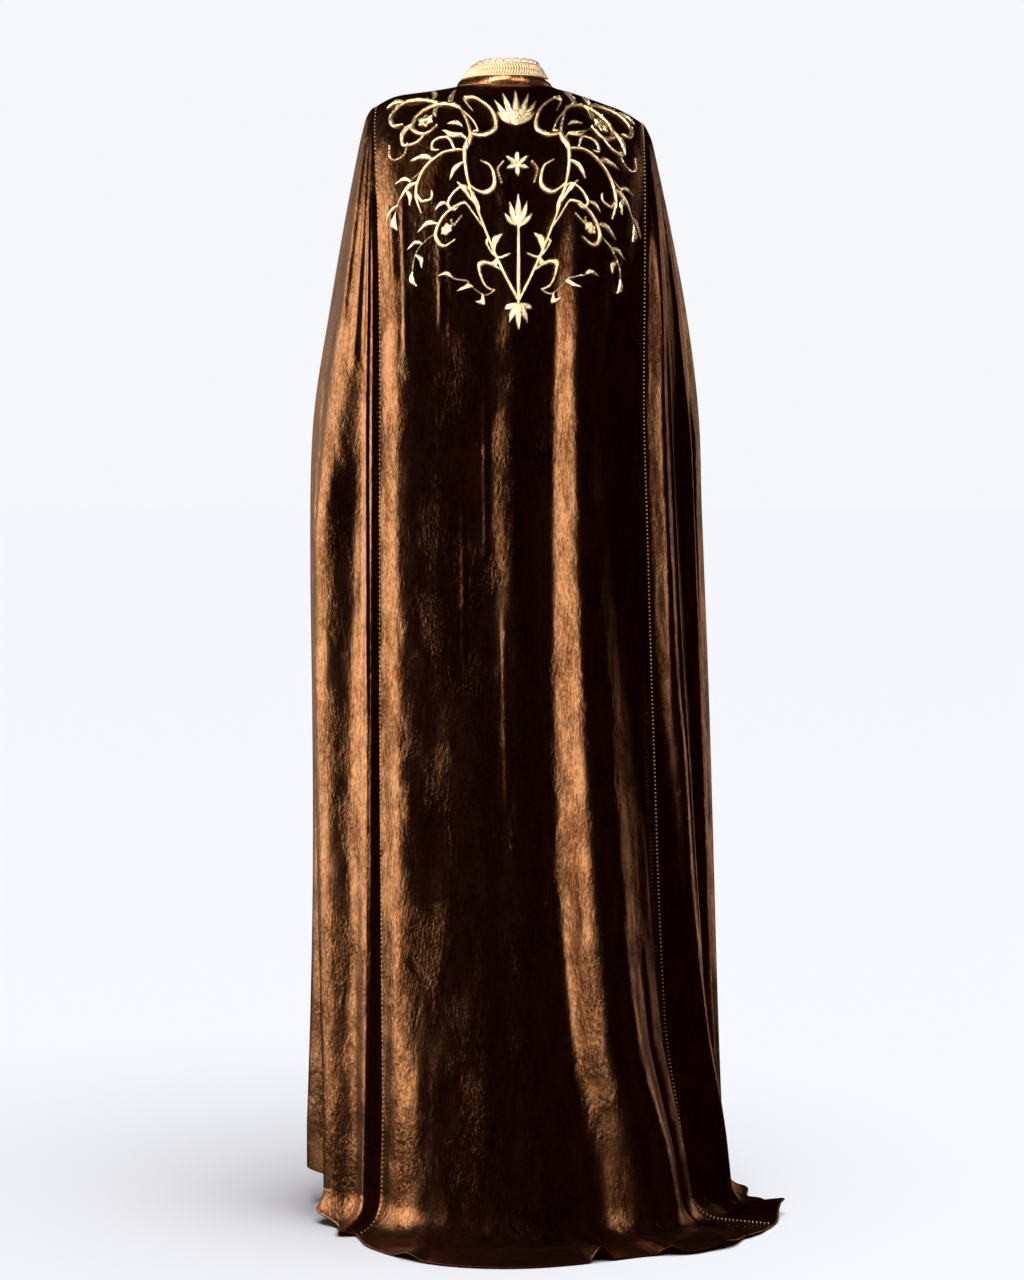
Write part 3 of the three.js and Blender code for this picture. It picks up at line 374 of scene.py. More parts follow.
def skirt_point(panel, share, along):
    foot = hanging(panel, share, np.full(np.shape(share), float(FOOT_RADIUS)))
    bearing = np.degrees(np.arctan2(foot[2], -foot[3]))
    length = read(HEM, bearing, 1) * along
    falling = np.minimum(length, FALL_TO_BEND)
    wall = hanging(panel, share, SKIRT_LEVEL - falling)
    past = np.maximum(length - FALL_TO_BEND, 0)
    turned = np.minimum(past / FOOT_RADIUS, np.pi / 2)
    run = past - turned * FOOT_RADIUS
    radius = np.hypot(foot[2], foot[3])
    settle = np.clip(run / 90, 0, 1)
    outward = FOOT_RADIUS * (1 - np.cos(turned)) + run - 0.6 * foot[4] * settle
    lift = 0.3 * np.maximum(foot[4], 0) * bump(np.clip(run / 110, 0, 1)) * np.sin(turned) ** 4
    for at, reach, rise in HEM_WAVES:
        lift = lift + rise * bump((bearing - at) / reach) * along**3
    bent = np.stack([foot[0] + foot[2] / radius * outward, foot[1] + foot[3] / radius * outward,
                     FLOOR + CLOTH + FOOT_RADIUS * (1 - np.sin(turned)) + np.where(turned > 0, lift, 0)])
    straight = np.stack([wall[0], wall[1], SKIRT_LEVEL - falling + FLOOR])
    return np.where(length <= FALL_TO_BEND, straight, bent)


def column_shares(even):
    """Shares of a panel at its columns, which lie closer towards the seams."""
    return lerp(even, (1 - np.cos(even * np.pi)) / 2, 0.5)


def panel_grid(panel, columns, yoke_rows, fall_rows, skirt_rows):
    """Points of a panel, as an array of columns by rows by x, y and z."""
    even = np.linspace(0, 1, columns + 1)
    share = column_shares(even)
    lines = []
    top = upper_edge(panel, share)
    if panel in ("left", "right"):
        drop = HEAD_PART * np.abs(1 - 2 * even) ** 2.4
        top_z = top[2] + (YOKE_LEVEL - top[2]) * drop
        start = yoke_point(panel, np.zeros_like(share), top_z)
        end = yoke_point(panel, np.ones_like(share), top_z)
        away = np.where(even < 0.5, start, end) - yoke_point(panel, share, top_z)
        for t in np.linspace(0, 1, yoke_rows + 1):
            down = t**1.8
            lines.append(yoke_point(panel, share, top_z + (YOKE_LEVEL - top_z) * down) + away * (1 - down))
    else:
        for t in np.linspace(0, 1, yoke_rows + 1):
            lines.append(yoke_point(panel, share, top[2] + (YOKE_LEVEL - top[2]) * t**1.8))
    for t in np.linspace(0, 1, fall_rows + 1)[1:]:
        height = lerp(YOKE_LEVEL - FLOOR, SKIRT_LEVEL, t) + 0 * share
        wall = hanging(panel, share, height)
        lines.append(np.stack([wall[0], wall[1], height + FLOOR]))
    for t in np.linspace(0, 1, skirt_rows + 1)[1:]:
        lines.append(skirt_point(panel, share, np.full_like(share, t)))
    return np.stack(lines, axis=-1).transpose(1, 2, 0)


def grid_normals(grid, side):
    across = np.gradient(grid, axis=0)
    down = np.gradient(grid, axis=1)
    normal = np.cross(down, across) * (-1 if side < 0 else 1)
    return normal / np.maximum(np.linalg.norm(normal, axis=2, keepdims=True), 1e-9)


def nap_normals(panel, grid, normals):
    """Normals turned about the vertical where the nap leans, and none where it doesn't."""
    share = column_shares(np.linspace(0, 1, grid.shape[0]))[:, None]
    height = grid[..., 2] - FLOOR
    turn = np.zeros(grid.shape[:2])
    for of, half, degrees, points in NAP:
        if of == panel:
            heights, places = zip(*points[::-1])
            above = ease(np.clip((height - heights[0]) / STROKE_FADE, 0, 1))
            below = ease(np.clip((heights[-1] - height) / STROKE_FADE, 0, 1))
            turn += degrees * above * below * bump((share - np.interp(height, heights, places)) / half)
    x, y, z = np.moveaxis(normals, -1, 0)
    cos, sin = np.cos(-np.radians(turn)), np.sin(-np.radians(turn))
    turned = np.stack([x * cos - y * sin, x * sin + y * cos, z], -1)
    return np.where(np.abs(turn)[..., None] > 0.05, turned, 0.0)


def new_object(name, verts, faces, material):
    """An object from points in millimetres, with smooth shading."""
    mesh = bpy.data.meshes.new(name)
    points = [tuple(v) for v in np.asarray(verts) * MM]
    mesh.from_pydata(points, [], [tuple(int(i) for i in f) for f in faces])
    mesh.materials.append(material)
    mesh.shade_smooth()
    mesh.update()
    made = bpy.data.objects.new(name, mesh)
    bpy.context.scene.collection.objects.link(made)
    return made


def grid_faces(columns, rows, flip):
    i, j = np.meshgrid(np.arange(columns), np.arange(rows), indexing="ij")
    a = (i * (rows + 1) + j).ravel()
    b, c, d = a + 1, a + rows + 2, a + rows + 1
    return np.stack([a, d, c, b] if flip else [a, b, c, d], axis=1)


# Materials

def node_material(name):
    material = bpy.data.materials.new(name)
    material.use_nodes = True
    nodes = material.node_tree.nodes
    return material, nodes, material.node_tree.links, nodes["Principled BSDF"]


def mapped_noise(nodes, links, scale, detail, rough, stretch, distortion=0.0):
    place = nodes.new("ShaderNodeTexCoord")
    mapping = nodes.new("ShaderNodeMapping")
    mapping.inputs["Scale"].default_value = stretch
    links.new(place.outputs["Object"], mapping.inputs["Vector"])
    made = nodes.new("ShaderNodeTexNoise")
    made.inputs["Scale"].default_value = scale
    made.inputs["Detail"].default_value = detail
    made.inputs["Roughness"].default_value = rough
    made.inputs["Distortion"].default_value = distortion
    links.new(mapping.outputs["Vector"], made.inputs["Vector"])
    return made.outputs["Fac"]


def ramp(nodes, links, value, stops):
    made = nodes.new("ShaderNodeValToRGB")
    for element, (position, color) in zip(made.color_ramp.elements, stops):
        element.position, element.color = position, (*color, 1)
    links.new(value, made.inputs["Fac"])
    return made.outputs["Color"]


def math_node(nodes, links, operation, a, b):
    made = nodes.new("ShaderNodeMath")
    made.operation = operation
    for socket, value in zip(made.inputs, (a, b)):
        if isinstance(value, (int, float)):
            socket.default_value = value
        else:
            links.new(value, socket)
    return made.outputs[0]


def velvet_material():
    """Silk velvet: a dark pile that turns coppery where its nap leans to a light."""
    material, nodes, links, shader = node_material("velvet_nap")

    def work(operation, a, b):
        return math_node(nodes, links, operation, a, b)

    patches = mapped_noise(nodes, links, 12, 2, 0.5, (1, 1, 0.42))
    blotches = mapped_noise(nodes, links, 21, 3, 0.6, (1, 1, 0.5), 0.4)
    mottle = mapped_noise(nodes, links, 75, 3, 0.6, (1, 1, 0.35))
    grain = mapped_noise(nodes, links, 330, 3, 0.65, (1, 1, 0.4))
    # Crushed places, where the nap lies unevenly
    crush = work("MULTIPLY", work("SUBTRACT", blotches, 0.46), 6)
    crush = work("MINIMUM", work("MAXIMUM", crush, 0), 1)
    nap = work("ADD", work("MULTIPLY", mottle, 0.4), work("MULTIPLY", grain, 0.6))
    nap = work("ADD", nap, work("MULTIPLY", work("SUBTRACT", blotches, 0.5), -0.35))
    color = ramp(nodes, links, nap, [(0.36, (0.13, 0.045, 0.013)), (0.6, (0.35, 0.165, 0.074))])
    links.new(color, shader.inputs["Base Color"])
    shader.inputs["Metallic"].default_value = 0.96
    shader.inputs["Roughness"].default_value = 0.27
    shader.inputs["Sheen Weight"].default_value = 0.03
    shader.inputs["Sheen Roughness"].default_value = 0.3
    shader.inputs["Sheen Tint"].default_value = (1.0, 0.35, 0.15, 1)
    rough = work("MULTIPLY", mottle, work("ADD", crush, 0.5))
    fuzz = work("MULTIPLY", grain, work("ADD", crush, 0.45))
    last = None
    for height, strength, distance in ((patches, 0.9, 0.013), (rough, 0.9, 0.0005), (fuzz, 0.9, 0.0011)):
        relief = nodes.new("ShaderNodeBump")
        relief.inputs["Strength"].default_value = strength
        relief.inputs["Distance"].default_value = distance
        links.new(height, relief.inputs["Height"])
        if last:
            links.new(last.outputs["Normal"], relief.inputs["Normal"])
        last = relief
    links.new(last.outputs["Normal"], shader.inputs["Normal"])
    return material


def gold_material(name, color, rough, metallic=0.7, shade=0.5):
    material, nodes, links, shader = node_material(name)
    grain = mapped_noise(nodes, links, 520, 3, 0.65, (1, 1, 1))
    dark = (color[0] * shade, color[1] * shade * 0.84, color[2] * shade * 0.7)
    links.new(ramp(nodes, links, grain, [(0.34, dark), (0.58, color)]), shader.inputs["Base Color"])
    shader.inputs["Metallic"].default_value = metallic
    shader.inputs["Roughness"].default_value = rough
    relief = nodes.new("ShaderNodeBump")
    relief.inputs["Strength"].default_value = 1.0
    relief.inputs["Distance"].default_value = 0.001
    links.new(grain, relief.inputs["Height"])
    links.new(relief.outputs["Normal"], shader.inputs["Normal"])
    return material


velvet = velvet_material()
gold = gold_material("gold_cord", (1.0, 0.76, 0.4), 0.26, 0.85)
bright_gold = gold_material("gold_leaf", (1.0, 0.82, 0.5), 0.24, 0.85)
braid_ground = gold_material("gold_braid_ground", (0.42, 0.24, 0.085), 0.5, 0.3)
braid_gold = gold_material("gold_braid_rib", (0.93, 0.76, 0.48), 0.42, 0.3, 0.8)
loop_gold = gold_material("gold_loop", (0.9, 0.52, 0.2), 0.32)
stitch_gold = gold_material("gold_stitch", (0.85, 0.6, 0.32), 0.35, 0.5, 0.8)
bead_silver = gold_material("bead", (0.98, 0.92, 0.8), 0.18, 0.8, 0.9)
hem_brown = gold_material("hem_edge", (0.17, 0.05, 0.022), 0.6, 0.1)

# Cloth panels

DETAIL = 1.0
GRIDS = {}
NODE_OF = {"back": "back", "left": "side_left", "right": "side_right",
           "front_left": "front_left", "front_right": "front_right"}
# How far behind the face the hem's edge turns under
HEM_TURN = (1.1, 2.1)
# Columns across each panel, then rows down its yoke, its fall and its skirt
COUNTS = {"back": (260, 40, 270, 60), "left": (200, 36, 240, 50), "right": (200, 36, 240, 56),
          "front_left": (70, 24, 130, 20), "front_right": (70, 24, 130, 20)}
for panel, counts in COUNTS.items():
    columns, yoke_rows, fall_rows, skirt_rows = (max(4, int(n * DETAIL)) // 2 * 2 for n in counts)
    grid = panel_grid(panel, columns, yoke_rows, fall_rows, skirt_rows)
    normals = grid_normals(grid, SIDE[panel])
    GRIDS[panel] = (grid, normals)
    rows = grid.shape[1] - 1
    curl = [grid[:, -1] - normals[:, -1] * depth for depth in HEM_TURN]
    under = grid[:, -4] - normals[:, -4] * HEM_TURN[1]
    full = np.concatenate([grid, *[c[:, None] for c in curl], under[:, None]], axis=1)
    faces = grid_faces(columns, rows + 3, SIDE[panel] < 0)
    piece = new_object("velvet_" + NODE_OF[panel], full.reshape(-1, 3), faces, velvet)
    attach(piece, "root")
    leaning = np.zeros(full.shape)
    leaning[:, : rows + 1] = nap_normals(panel, grid, normals)
    piece.data.normals_split_custom_set_from_vertices([tuple(n) for n in leaning.reshape(-1, 3)])
    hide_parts(NODE_OF[panel])

# Collar

neck_angle = np.linspace(-FRONT_NECK_END, FRONT_NECK_END, 481)
neck_line = neck_point(np.abs(neck_angle), np.where(neck_angle < 0, -1, 1)).T
neck_length = arc_lengths(neck_line)
NECK_LENGTH = neck_length[-1]
BRAID_FOOT = 2 * SEAM_GAP + STAND_HEIGHT
LOOP_FOOT = BRAID_FOOT + BRAID_HEIGHT


def on_collar(length, height, depth):
    """Points of the collar at lengths along the neck edge, heights above it and depths inward."""
    length, height, depth = np.broadcast_arrays(*(np.asarray(v, float) for v in (length, height, depth)))
    along = np.gradient(neck_line, axis=0)
    along /= np.linalg.norm(along, axis=1, keepdims=True)
    base = np.stack([np.interp(length, neck_length, neck_line[:, k]) for k in range(3)], -1)
    way = np.stack([np.interp(length, neck_length, along[:, k]) for k in range(3)], -1)
    way /= np.linalg.norm(way, axis=-1, keepdims=True)
    straight = np.array([0, 0, 1.0]) - way * way[..., 2:3]
    straight /= np.linalg.norm(straight, axis=-1, keepdims=True)
    inside = -np.cross(way, straight)
    lean = np.radians(COLLAR_LEAN) * np.sin(np.interp(length, neck_length, neck_angle))[..., None] ** 2
    up = straight * np.cos(lean) + inside * np.sin(lean)
    inward = inside * np.cos(lean) - straight * np.sin(lean)
    return base + up * height[..., None] + inward * depth[..., None]


def collar_band(name, low, high, columns, rows, relief, material, node):
    """A closed band round the neck whose outer face has a relief, a height for each place on it."""
    length = np.linspace(0, NECK_LENGTH, columns + 1)[:, None]
    height = np.linspace(high, low, rows + 1)[None, :]
    outer = on_collar(length, height, -relief(length, height))
    inner = on_collar(length, height, CLOTH)[:, ::-1]
    ring = np.concatenate([outer, inner], axis=1)
    ring = np.concatenate([ring, ring[:, :1]], axis=1)
    piece = new_object(name, ring.reshape(-1, 3), grid_faces(columns, ring.shape[1] - 1, False), material)
    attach(piece, "root")
    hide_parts(node)
    return piece


def stand_relief(length, height):
    crown = np.sin(np.clip((height - SEAM_GAP) / STAND_HEIGHT, 0, 1) * np.pi)
    return 1.2 * crown + 0.25 * np.sin(length / 23 + height / 4)


def braid_relief(length, height):
    off_middle = np.abs(height - (BRAID_FOOT + BRAID_HEIGHT / 2))
    return 0.35 * np.clip((BRAID_HEIGHT / 2 - off_middle) / 1.4, 0, 1) + 0 * length


stand = collar_band("collar_velvet", 0.0, SEAM_GAP + STAND_HEIGHT, 160, 16, stand_relief,
                    velvet, "collar_stand")
braid = collar_band("collar_braid_woven", BRAID_FOOT, LOOP_FOOT, 240, 10, braid_relief,
                    braid_ground, "collar_braid")


class Batch:
    """Verts and faces of many small forms that end up in one piece."""

    def __init__(self):
        self.verts, self.faces, self.count = [], [], 0

    def add(self, verts, faces):
        self.verts.append(np.asarray(verts, float))
        self.faces += [tuple(int(i) + self.count for i in f) for f in faces]
        self.count += len(verts)

    def make(self, name, material):
        return new_object(name, np.concatenate(self.verts), self.faces, material)


def add_tube(batch, path, radius, sides):
    """Rings round a path, closed by caps."""
    path = np.asarray(path, float)
    way = np.gradient(path, axis=0)
    way /= np.maximum(np.linalg.norm(way, axis=1, keepdims=True), 1e-9)
    normal = np.cross(way[0], [0.31, 0.17, 0.93])
    normals = []
    for w in way:
        normal = normal - w * normal.dot(w)
        normal /= np.linalg.norm(normal)
        normals.append(normal)
    normals = np.array(normals)
    side = np.cross(way, normals)
    angle = np.linspace(0, 2 * np.pi, sides, endpoint=False)
    radius = np.broadcast_to(radius, len(path))
    ring = (normals[:, None] * np.cos(angle)[None, :, None] + side[:, None] * np.sin(angle)[None, :, None])
    verts = (path[:, None] + ring * radius[:, None, None]).reshape(-1, 3)
    faces = []
    for i in range(len(path) - 1):
        for k in range(sides):
            a, b = i * sides + k, i * sides + (k + 1) % sides
            faces.append((a, b, b + sides, a + sides))
    last = (len(path) - 1) * sides
    verts = np.concatenate([verts, path[:1], path[-1:]])
    first_cap, last_cap = len(verts) - 2, len(verts) - 1
    for k in range(sides):
        faces.append((first_cap, (k + 1) % sides, k))
        faces.append((last_cap, last + k, last + (k + 1) % sides))
    batch.add(verts, faces)


def add_bead(batch, centre, radius, sides=6):
    """A small round bead or stitch."""
    angle = np.linspace(0, 2 * np.pi, sides, endpoint=False)
    circle = np.stack([np.cos(angle), np.sin(angle), np.zeros(sides)], 1)
    rings = [circle * np.cos(t) + [0, 0, np.sin(t)] for t in (-0.7, 0, 0.7)]
    verts = np.concatenate([[[0, 0, -1.0]], *rings, [[0, 0, 1.0]]]) * radius + centre
    faces = []
    for k in range(sides):
        n = (k + 1) % sides
        faces.append((0, 1 + n, 1 + k))
        faces.append((1 + k, 1 + n, 1 + sides + n, 1 + sides + k))
        faces.append((1 + sides + k, 1 + sides + n, 1 + 2 * sides + n, 1 + 2 * sides + k))
        faces.append((1 + 2 * sides + k, 1 + 2 * sides + n, 1 + 3 * sides))
    batch.add(verts, faces)


# The braid's slanting ribs, laid as a row of Vs, between two edge cords
ribs = Batch()
RIB_PITCH = 3.9
for n in range(int(NECK_LENGTH / RIB_PITCH) - 1):
    at = RIB_PITCH * (n + 0.6)
    for start, end in ((0.9, 0.5), (0.5, 0.1)):
        t = np.linspace(0, 1, 5)
        share = lerp(start, end, t)
        length = at + 6.0 * (0.5 - np.abs(share - 0.5)) + 0 * t
        height = BRAID_FOOT + share * BRAID_HEIGHT
        add_tube(ribs, on_collar(length, height, -0.35), 0.95 + 0.35 * np.sin(t * np.pi), 6)
edge_length = np.linspace(0.8, NECK_LENGTH - 0.8, 420)
edge_radius = 0.8 + 0.15 * np.sin(edge_length * 2.2)
for edge in (0.9, BRAID_HEIGHT - 0.9):
    add_tube(ribs, on_collar(edge_length, BRAID_FOOT + edge, -0.3), edge_radius, 6)
rib_piece = ribs.make("collar_braid_ribs", braid_gold)
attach(rib_piece, "root")

loops = Batch()
pitch = NECK_LENGTH / LOOP_COUNT
angle = np.linspace(0.0, np.pi, 15)
height = LOOP_FOOT + 0.3 + np.sin(angle) ** 0.8 * (LOOP_HEIGHT - 1.2)
for n in range(LOOP_COUNT):
    length = pitch * (n + 0.5) - np.cos(angle) * (pitch * 0.5 - 0.1)
    path = on_collar(length, height, 0.9 + 0.5 * np.cos(angle))
    add_tube(loops, path, 0.85 + 0.12 * np.cos(angle * 14), 7)
foot_length = np.linspace(0.8, NECK_LENGTH - 0.8, 400)
foot_radius = 0.8 + 0.1 * np.sin(foot_length * 2.4)
add_tube(loops, on_collar(foot_length, LOOP_FOOT + 0.6, 1.0), foot_radius, 6)
loop_piece = loops.make("collar_loop_edging", loop_gold)
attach(loop_piece, "root")
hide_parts("collar_loops")
METAL_TRIM = [stand, braid, rib_piece, loop_piece]

# Goldwork

# Lines on the back as distance from the centre, length down from the edge and width. Each line but
# the stem is laid on both sides.
CORDS = [
    [(0, 312, 0.9), (22, 276, 1), (46, 236, 1), (66, 196, 1), (70, 154, 1), (60, 116, 1), (70, 84, 1),
     (98, 64, 1), (126, 72, 1), (136, 96, 1), (120, 113, 0.9), (103, 104, 0.4)],
    [(60, 116, 0.7), (42, 102, 1), (26, 80, 1), (30, 54, 1), (50, 44, 1), (64, 58, 0.9), (54, 72, 0.4)],
    [(98, 64, 0.7), (122, 44, 1), (148, 40, 1), (165, 58, 1), (160, 80, 0.9), (148, 84, 0.4)],
    [(46, 236, 0.7), (74, 226, 1), (100, 234, 1), (114, 256, 1), (104, 276, 0.9), (87, 272, 0.4)],
    [(22, 276, 0.7), (42, 278, 1), (55, 294, 1), (47, 312, 0.9), (33, 309, 0.4)],
    [(70, 154, 0.7), (98, 150, 0.9), (126, 164, 0.9), (138, 192, 0.8), (132, 222, 0.3)],
    [(66, 196, 0.7), (46, 186, 1), (32, 164, 1), (36, 143, 0.9), (50, 145, 0.4)],
]
LEAVES = [
    [(58, 214, 0.5), (70, 210, 1.5), (82, 196, 0.2)],
    [(34, 256, 0.5), (32, 240, 1.5), (22, 226, 0.2)],
    [(70, 170, 0.5), (84, 176, 1.5), (92, 190, 0.2)],
    [(84, 72, 0.5), (84, 54, 1.5), (76, 34, 0.2)],
    [(110, 52, 0.5), (106, 36, 1.4), (112, 18, 0.2)],
    [(148, 40, 0.5), (160, 32, 1.3), (172, 36, 0.2)],
    [(134, 88, 0.5), (148, 98, 1.5), (152, 118, 0.2)],
    [(112, 155, 0.5), (124, 146, 1.5), (142, 146, 0.2)],
    [(134, 178, 0.5), (148, 180, 1.4), (160, 192, 0.2)],
    [(110, 244, 0.5), (124, 238, 1.5), (138, 246, 0.2)],
    [(62, 132, 0.5), (82, 128, 1.5), (96, 116, 0.2)],
]
STEM = [(0, 326, 0.7), (0, 290, 1), (0, 250, 0.9), (0, 206, 0.6)]
PALMETTE_TOP = [(0, 18), (14, 24), (24, 38), (23, 56)]
PALMETTE_CROWN = [(0, 168), (12, 180), (19, 198)]
PALMETTE_FOOT = [(0, 352), (13, 344), (20, 328)]
ROSETTES = [
    ("rosette_centre", 0, 126, 17),
    ("rosette_left", -118, 90, 11),
    ("rosette_right", 118, 90, 11),
    ("rosette_low_left", -99, 255, 8.5),
    ("rosette_low_right", 99, 255, 8.5),
]

back_grid, back_normals = GRIDS["back"]
level_x = back_grid[:, int(COUNTS["back"][1] * DETAIL), 0]
row_lengths = np.stack([arc_lengths(line) for line in back_grid])


def over_back(x, down, height):
    """Points over the back at distances from the centre, lengths down from the edge and heights."""
    x, down, height = (np.atleast_1d(np.asarray(v, float)) for v in np.broadcast_arrays(x, down, height))
    column = np.interp(x, level_x, np.arange(len(level_x)))
    i = np.clip(column.astype(int), 0, len(level_x) - 2)
    across = column - i
    made = np.zeros((len(x), 3))
    for k in range(len(x)):
        lengths = lerp(row_lengths[i[k]], row_lengths[i[k] + 1], across[k])
        row = np.interp(down[k], lengths, np.arange(len(lengths)))
        j = min(int(row), len(lengths) - 2)
        below = row - j
        for grid, much in ((back_grid, 1.0), (back_normals, height[k])):
            here = lerp(lerp(grid[i[k], j], grid[i[k] + 1, j], across[k]),
                        lerp(grid[i[k], j + 1], grid[i[k] + 1, j + 1], across[k]), below)
            made[k] += here * much if grid is back_grid else here / np.linalg.norm(here) * much
    return made


def smooth_line(line, parts):
    points = np.asarray(line, float)
    padded = np.vstack([2 * points[0] - points[1], points, 2 * points[-1] - points[-2]])
    made = []
    for t in np.linspace(0, len(points) - 1, parts + 1):
        i = min(int(t), len(points) - 2)
        u = t - i
        a, b, c, d = padded[i : i + 4]
        square = 2 * a - 5 * b + 4 * c - d
        cube = 3 * b - a - 3 * c + d
        made.append(0.5 * (2 * b + (c - a) * u + square * u * u + cube * u**3))
    return np.array(made)


def cord_form(batch, line, side, parts, groove=False, rise=CORD_RISE):
    """A padded cord on the back: a domed strip whose width follows the line's third number."""
    points = smooth_line(line, parts)
    way = np.gradient(points[:, :2], axis=0)
    way /= np.maximum(np.linalg.norm(way, axis=1, keepdims=True), 1e-9)
    across = np.linspace(-1, 1, 9)
    half = CORD_WIDTH * np.maximum(points[:, 2], 0.12) / 2
    x = side * (points[:, 0:1] - way[:, 1:2] * half[:, None] * across)
    down = points[:, 1:2] + way[:, 0:1] * half[:, None] * across
    dome = np.sqrt(np.maximum(1 - across**2, 0))
    high = rise * np.clip(points[:, 2] + 0.2, 0.4, 1.05)
    height = 0.1 + high[:, None] * dome
    if groove:
        height = height * (1 - 0.5 * np.exp(-((across / 0.16) ** 2)))
    length = arc_lengths(points[:, :2])
    height = height * (1 + 0.1 * np.sin(length[:, None] * 2.6 + across * 2.2))
    batch.add(over_back(x.ravel(), down.ravel(), height.ravel()), grid_faces(parts, 8, side > 0))


def palmette_form(batch, tips, root):
    for x, d in tips:
        for side in (-1, 1) if x else (1,):
            line = [(0, root, 0.6), (x * 0.6, lerp(root, d, 0.5), 1.6), (x, d, 0.2)]
            cord_form(batch, line, side, 24, True)


work, leafwork, topwork = Batch(), Batch(), Batch()
cord_form(work, STEM, 1, 90)
for side in (-1, 1):
    for line in CORDS:
        cord_form(work, line, side, 18 * len(line))
    for line in LEAVES:
        cord_form(leafwork, line, side, 24, True)
palmette_form(leafwork, PALMETTE_CROWN, 212)
palmette_form(leafwork, PALMETTE_FOOT, 316)
palmette_form(topwork, PALMETTE_TOP, 70)
scroll = work.make("goldwork_scrolls", gold)
leaf = leafwork.make("goldwork_leaves", bright_gold)
top_leaf = topwork.make("goldwork_palmette", bright_gold)
METAL_TRIM += [scroll, leaf, top_leaf]
for piece in (scroll, leaf, top_leaf):
    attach(piece, "root")
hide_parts("goldwork")
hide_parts("palmette")
for name, x, d, radius in ROSETTES:
    flower = Batch()
    for k in range(6):
        angle = math.pi * (k + 0.5) / 3
        at = [(x + math.cos(angle) * radius * s, d + math.sin(angle) * radius * s) for s in (-0.1, 0.6, 1)]
        cord_form(flower, [(*at[0], 0.7), (*at[1], 1.3), (*at[2], 0.2)], 1, 20, True)
    piece = flower.make(name + "_petals", bright_gold)
    METAL_TRIM.append(piece)
    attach(piece, "root")
    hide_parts(name)

# Studs on the cords, arcs of beads, dotted tendrils with leaves, and fine cords and leaves
beads, studs, twigs = Batch(), Batch(), Batch()


def along_line(line, step, first=0.0):
    points = smooth_line([(*p[:2], 1) for p in line], 160)[:, :2]
    length = arc_lengths(points)
    at = np.arange(first, length[-1], step)
    return np.stack([np.interp(at, length, points[:, 0]), np.interp(at, length, points[:, 1])], 1)


BEAD_ARCS = [
    [(144, 120), (149, 133), (160, 135), (168, 124), (167, 108)],
    [(20, 128), (27, 142), (22, 158)],
    [(79, 244), (90, 253), (92, 244)],
]
TENDRILS = [
    [(126, 164), (142, 172), (156, 186), (166, 206)],
    [(114, 256), (130, 262), (142, 276), (146, 296)],
    [(33, 309), (48, 326), (70, 332), (92, 324)],
]
FINE_CORDS = [
    [(12, 250, 0.5), (30, 262, 0.8), (44, 254, 0.7), (40, 242, 0.3)],
    [(83, 150, 0.5), (90, 130, 0.8), (108, 128, 0.8), (112, 140, 0.7), (103, 144, 0.3)],
    [(60, 200, 0.5), (84, 206, 0.8), (96, 220, 0.8), (88, 232, 0.7), (79, 225, 0.3)],
    [(70, 84, 0.5), (56, 88, 0.8), (50, 100, 0.6), (56, 108, 0.3)],
    [(120, 113, 0.5), (132, 122, 0.8), (148, 120, 0.7), (150, 108, 0.3)],
    [(138, 192, 0.5), (130, 206, 0.8), (118, 206, 0.7), (117, 196, 0.3)],
]
FINE_LEAVES = [
    [(30, 262, 0.4), (34, 274, 1.2), (46, 282, 0.2)],
    [(100, 64, 0.4), (106, 76, 1.1), (104, 88, 0.2)],
    [(64, 200, 0.4), (56, 210, 1.1), (54, 224, 0.2)],
    [(96, 220, 0.4), (106, 218, 1.1), (114, 224, 0.2)],
    [(70, 116, 0.4), (78, 108, 1.1), (90, 106, 0.2)],
]
TENDRIL_LEAVES = [
    [(144, 173, 0.4), (152, 166, 1.1), (164, 166, 0.2)],
    [(152, 182, 0.4), (146, 192, 1.1), (147, 205, 0.2)],
    [(162, 197, 0.4), (170, 197, 1.0), (178, 206, 0.2)],
    [(166, 206, 0.4), (168, 216, 1.3), (164, 230, 0.2)],
    [(132, 263, 0.4), (142, 258, 1.1), (152, 264, 0.2)],
    [(141, 275, 0.4), (134, 284, 1.1), (134, 295, 0.2)],
    [(146, 296, 0.4), (147, 306, 1.3), (141, 318, 0.2)],
    [(92, 322, 0.4), (101, 314, 1.2), (112, 314, 0.2)],
    [(66, 330, 0.4), (74, 340, 1.1), (86, 342, 0.2)],
    [(50, 327, 0.4), (50, 338, 1.1), (60, 346, 0.2)],
]
for side in (-1, 1):
    for line in CORDS:
        for x, d in along_line(line, 15, 9):
            for centre in over_back(side * x, d, CORD_RISE + 0.1):
                add_bead(studs, centre, 1.15)
    for line in LEAVES:
        x, d, _ = line[1]
        for centre in over_back(side * x, d, CORD_RISE + 0.2):
            add_bead(studs, centre, 0.95)
    for line in BEAD_ARCS:
        for x, d in along_line(line, 3.9):
            for centre in over_back(side * x, d, 1.5):
                add_bead(beads, centre, 1.7, 8)
    for line in TENDRILS:
        for x, d in along_line(line, 3.1):
            for centre in over_back(side * x, d, 0.8):
                add_bead(beads, centre, 1.15)
    for line in TENDRIL_LEAVES + FINE_LEAVES:
        cord_form(twigs, line, side, 20, True, rise=1.8)
    for line in FINE_CORDS:
        cord_form(twigs, line, side, 14 * len(line), rise=2.0)
for name, batch, material in (
    ("goldwork_studs", studs, bead_silver),
    ("goldwork_beads", beads, bright_gold),
    ("goldwork_twigs", twigs, bright_gold),
):
    piece = batch.make(name, material)
    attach(piece, "root")
    METAL_TRIM.append(piece)

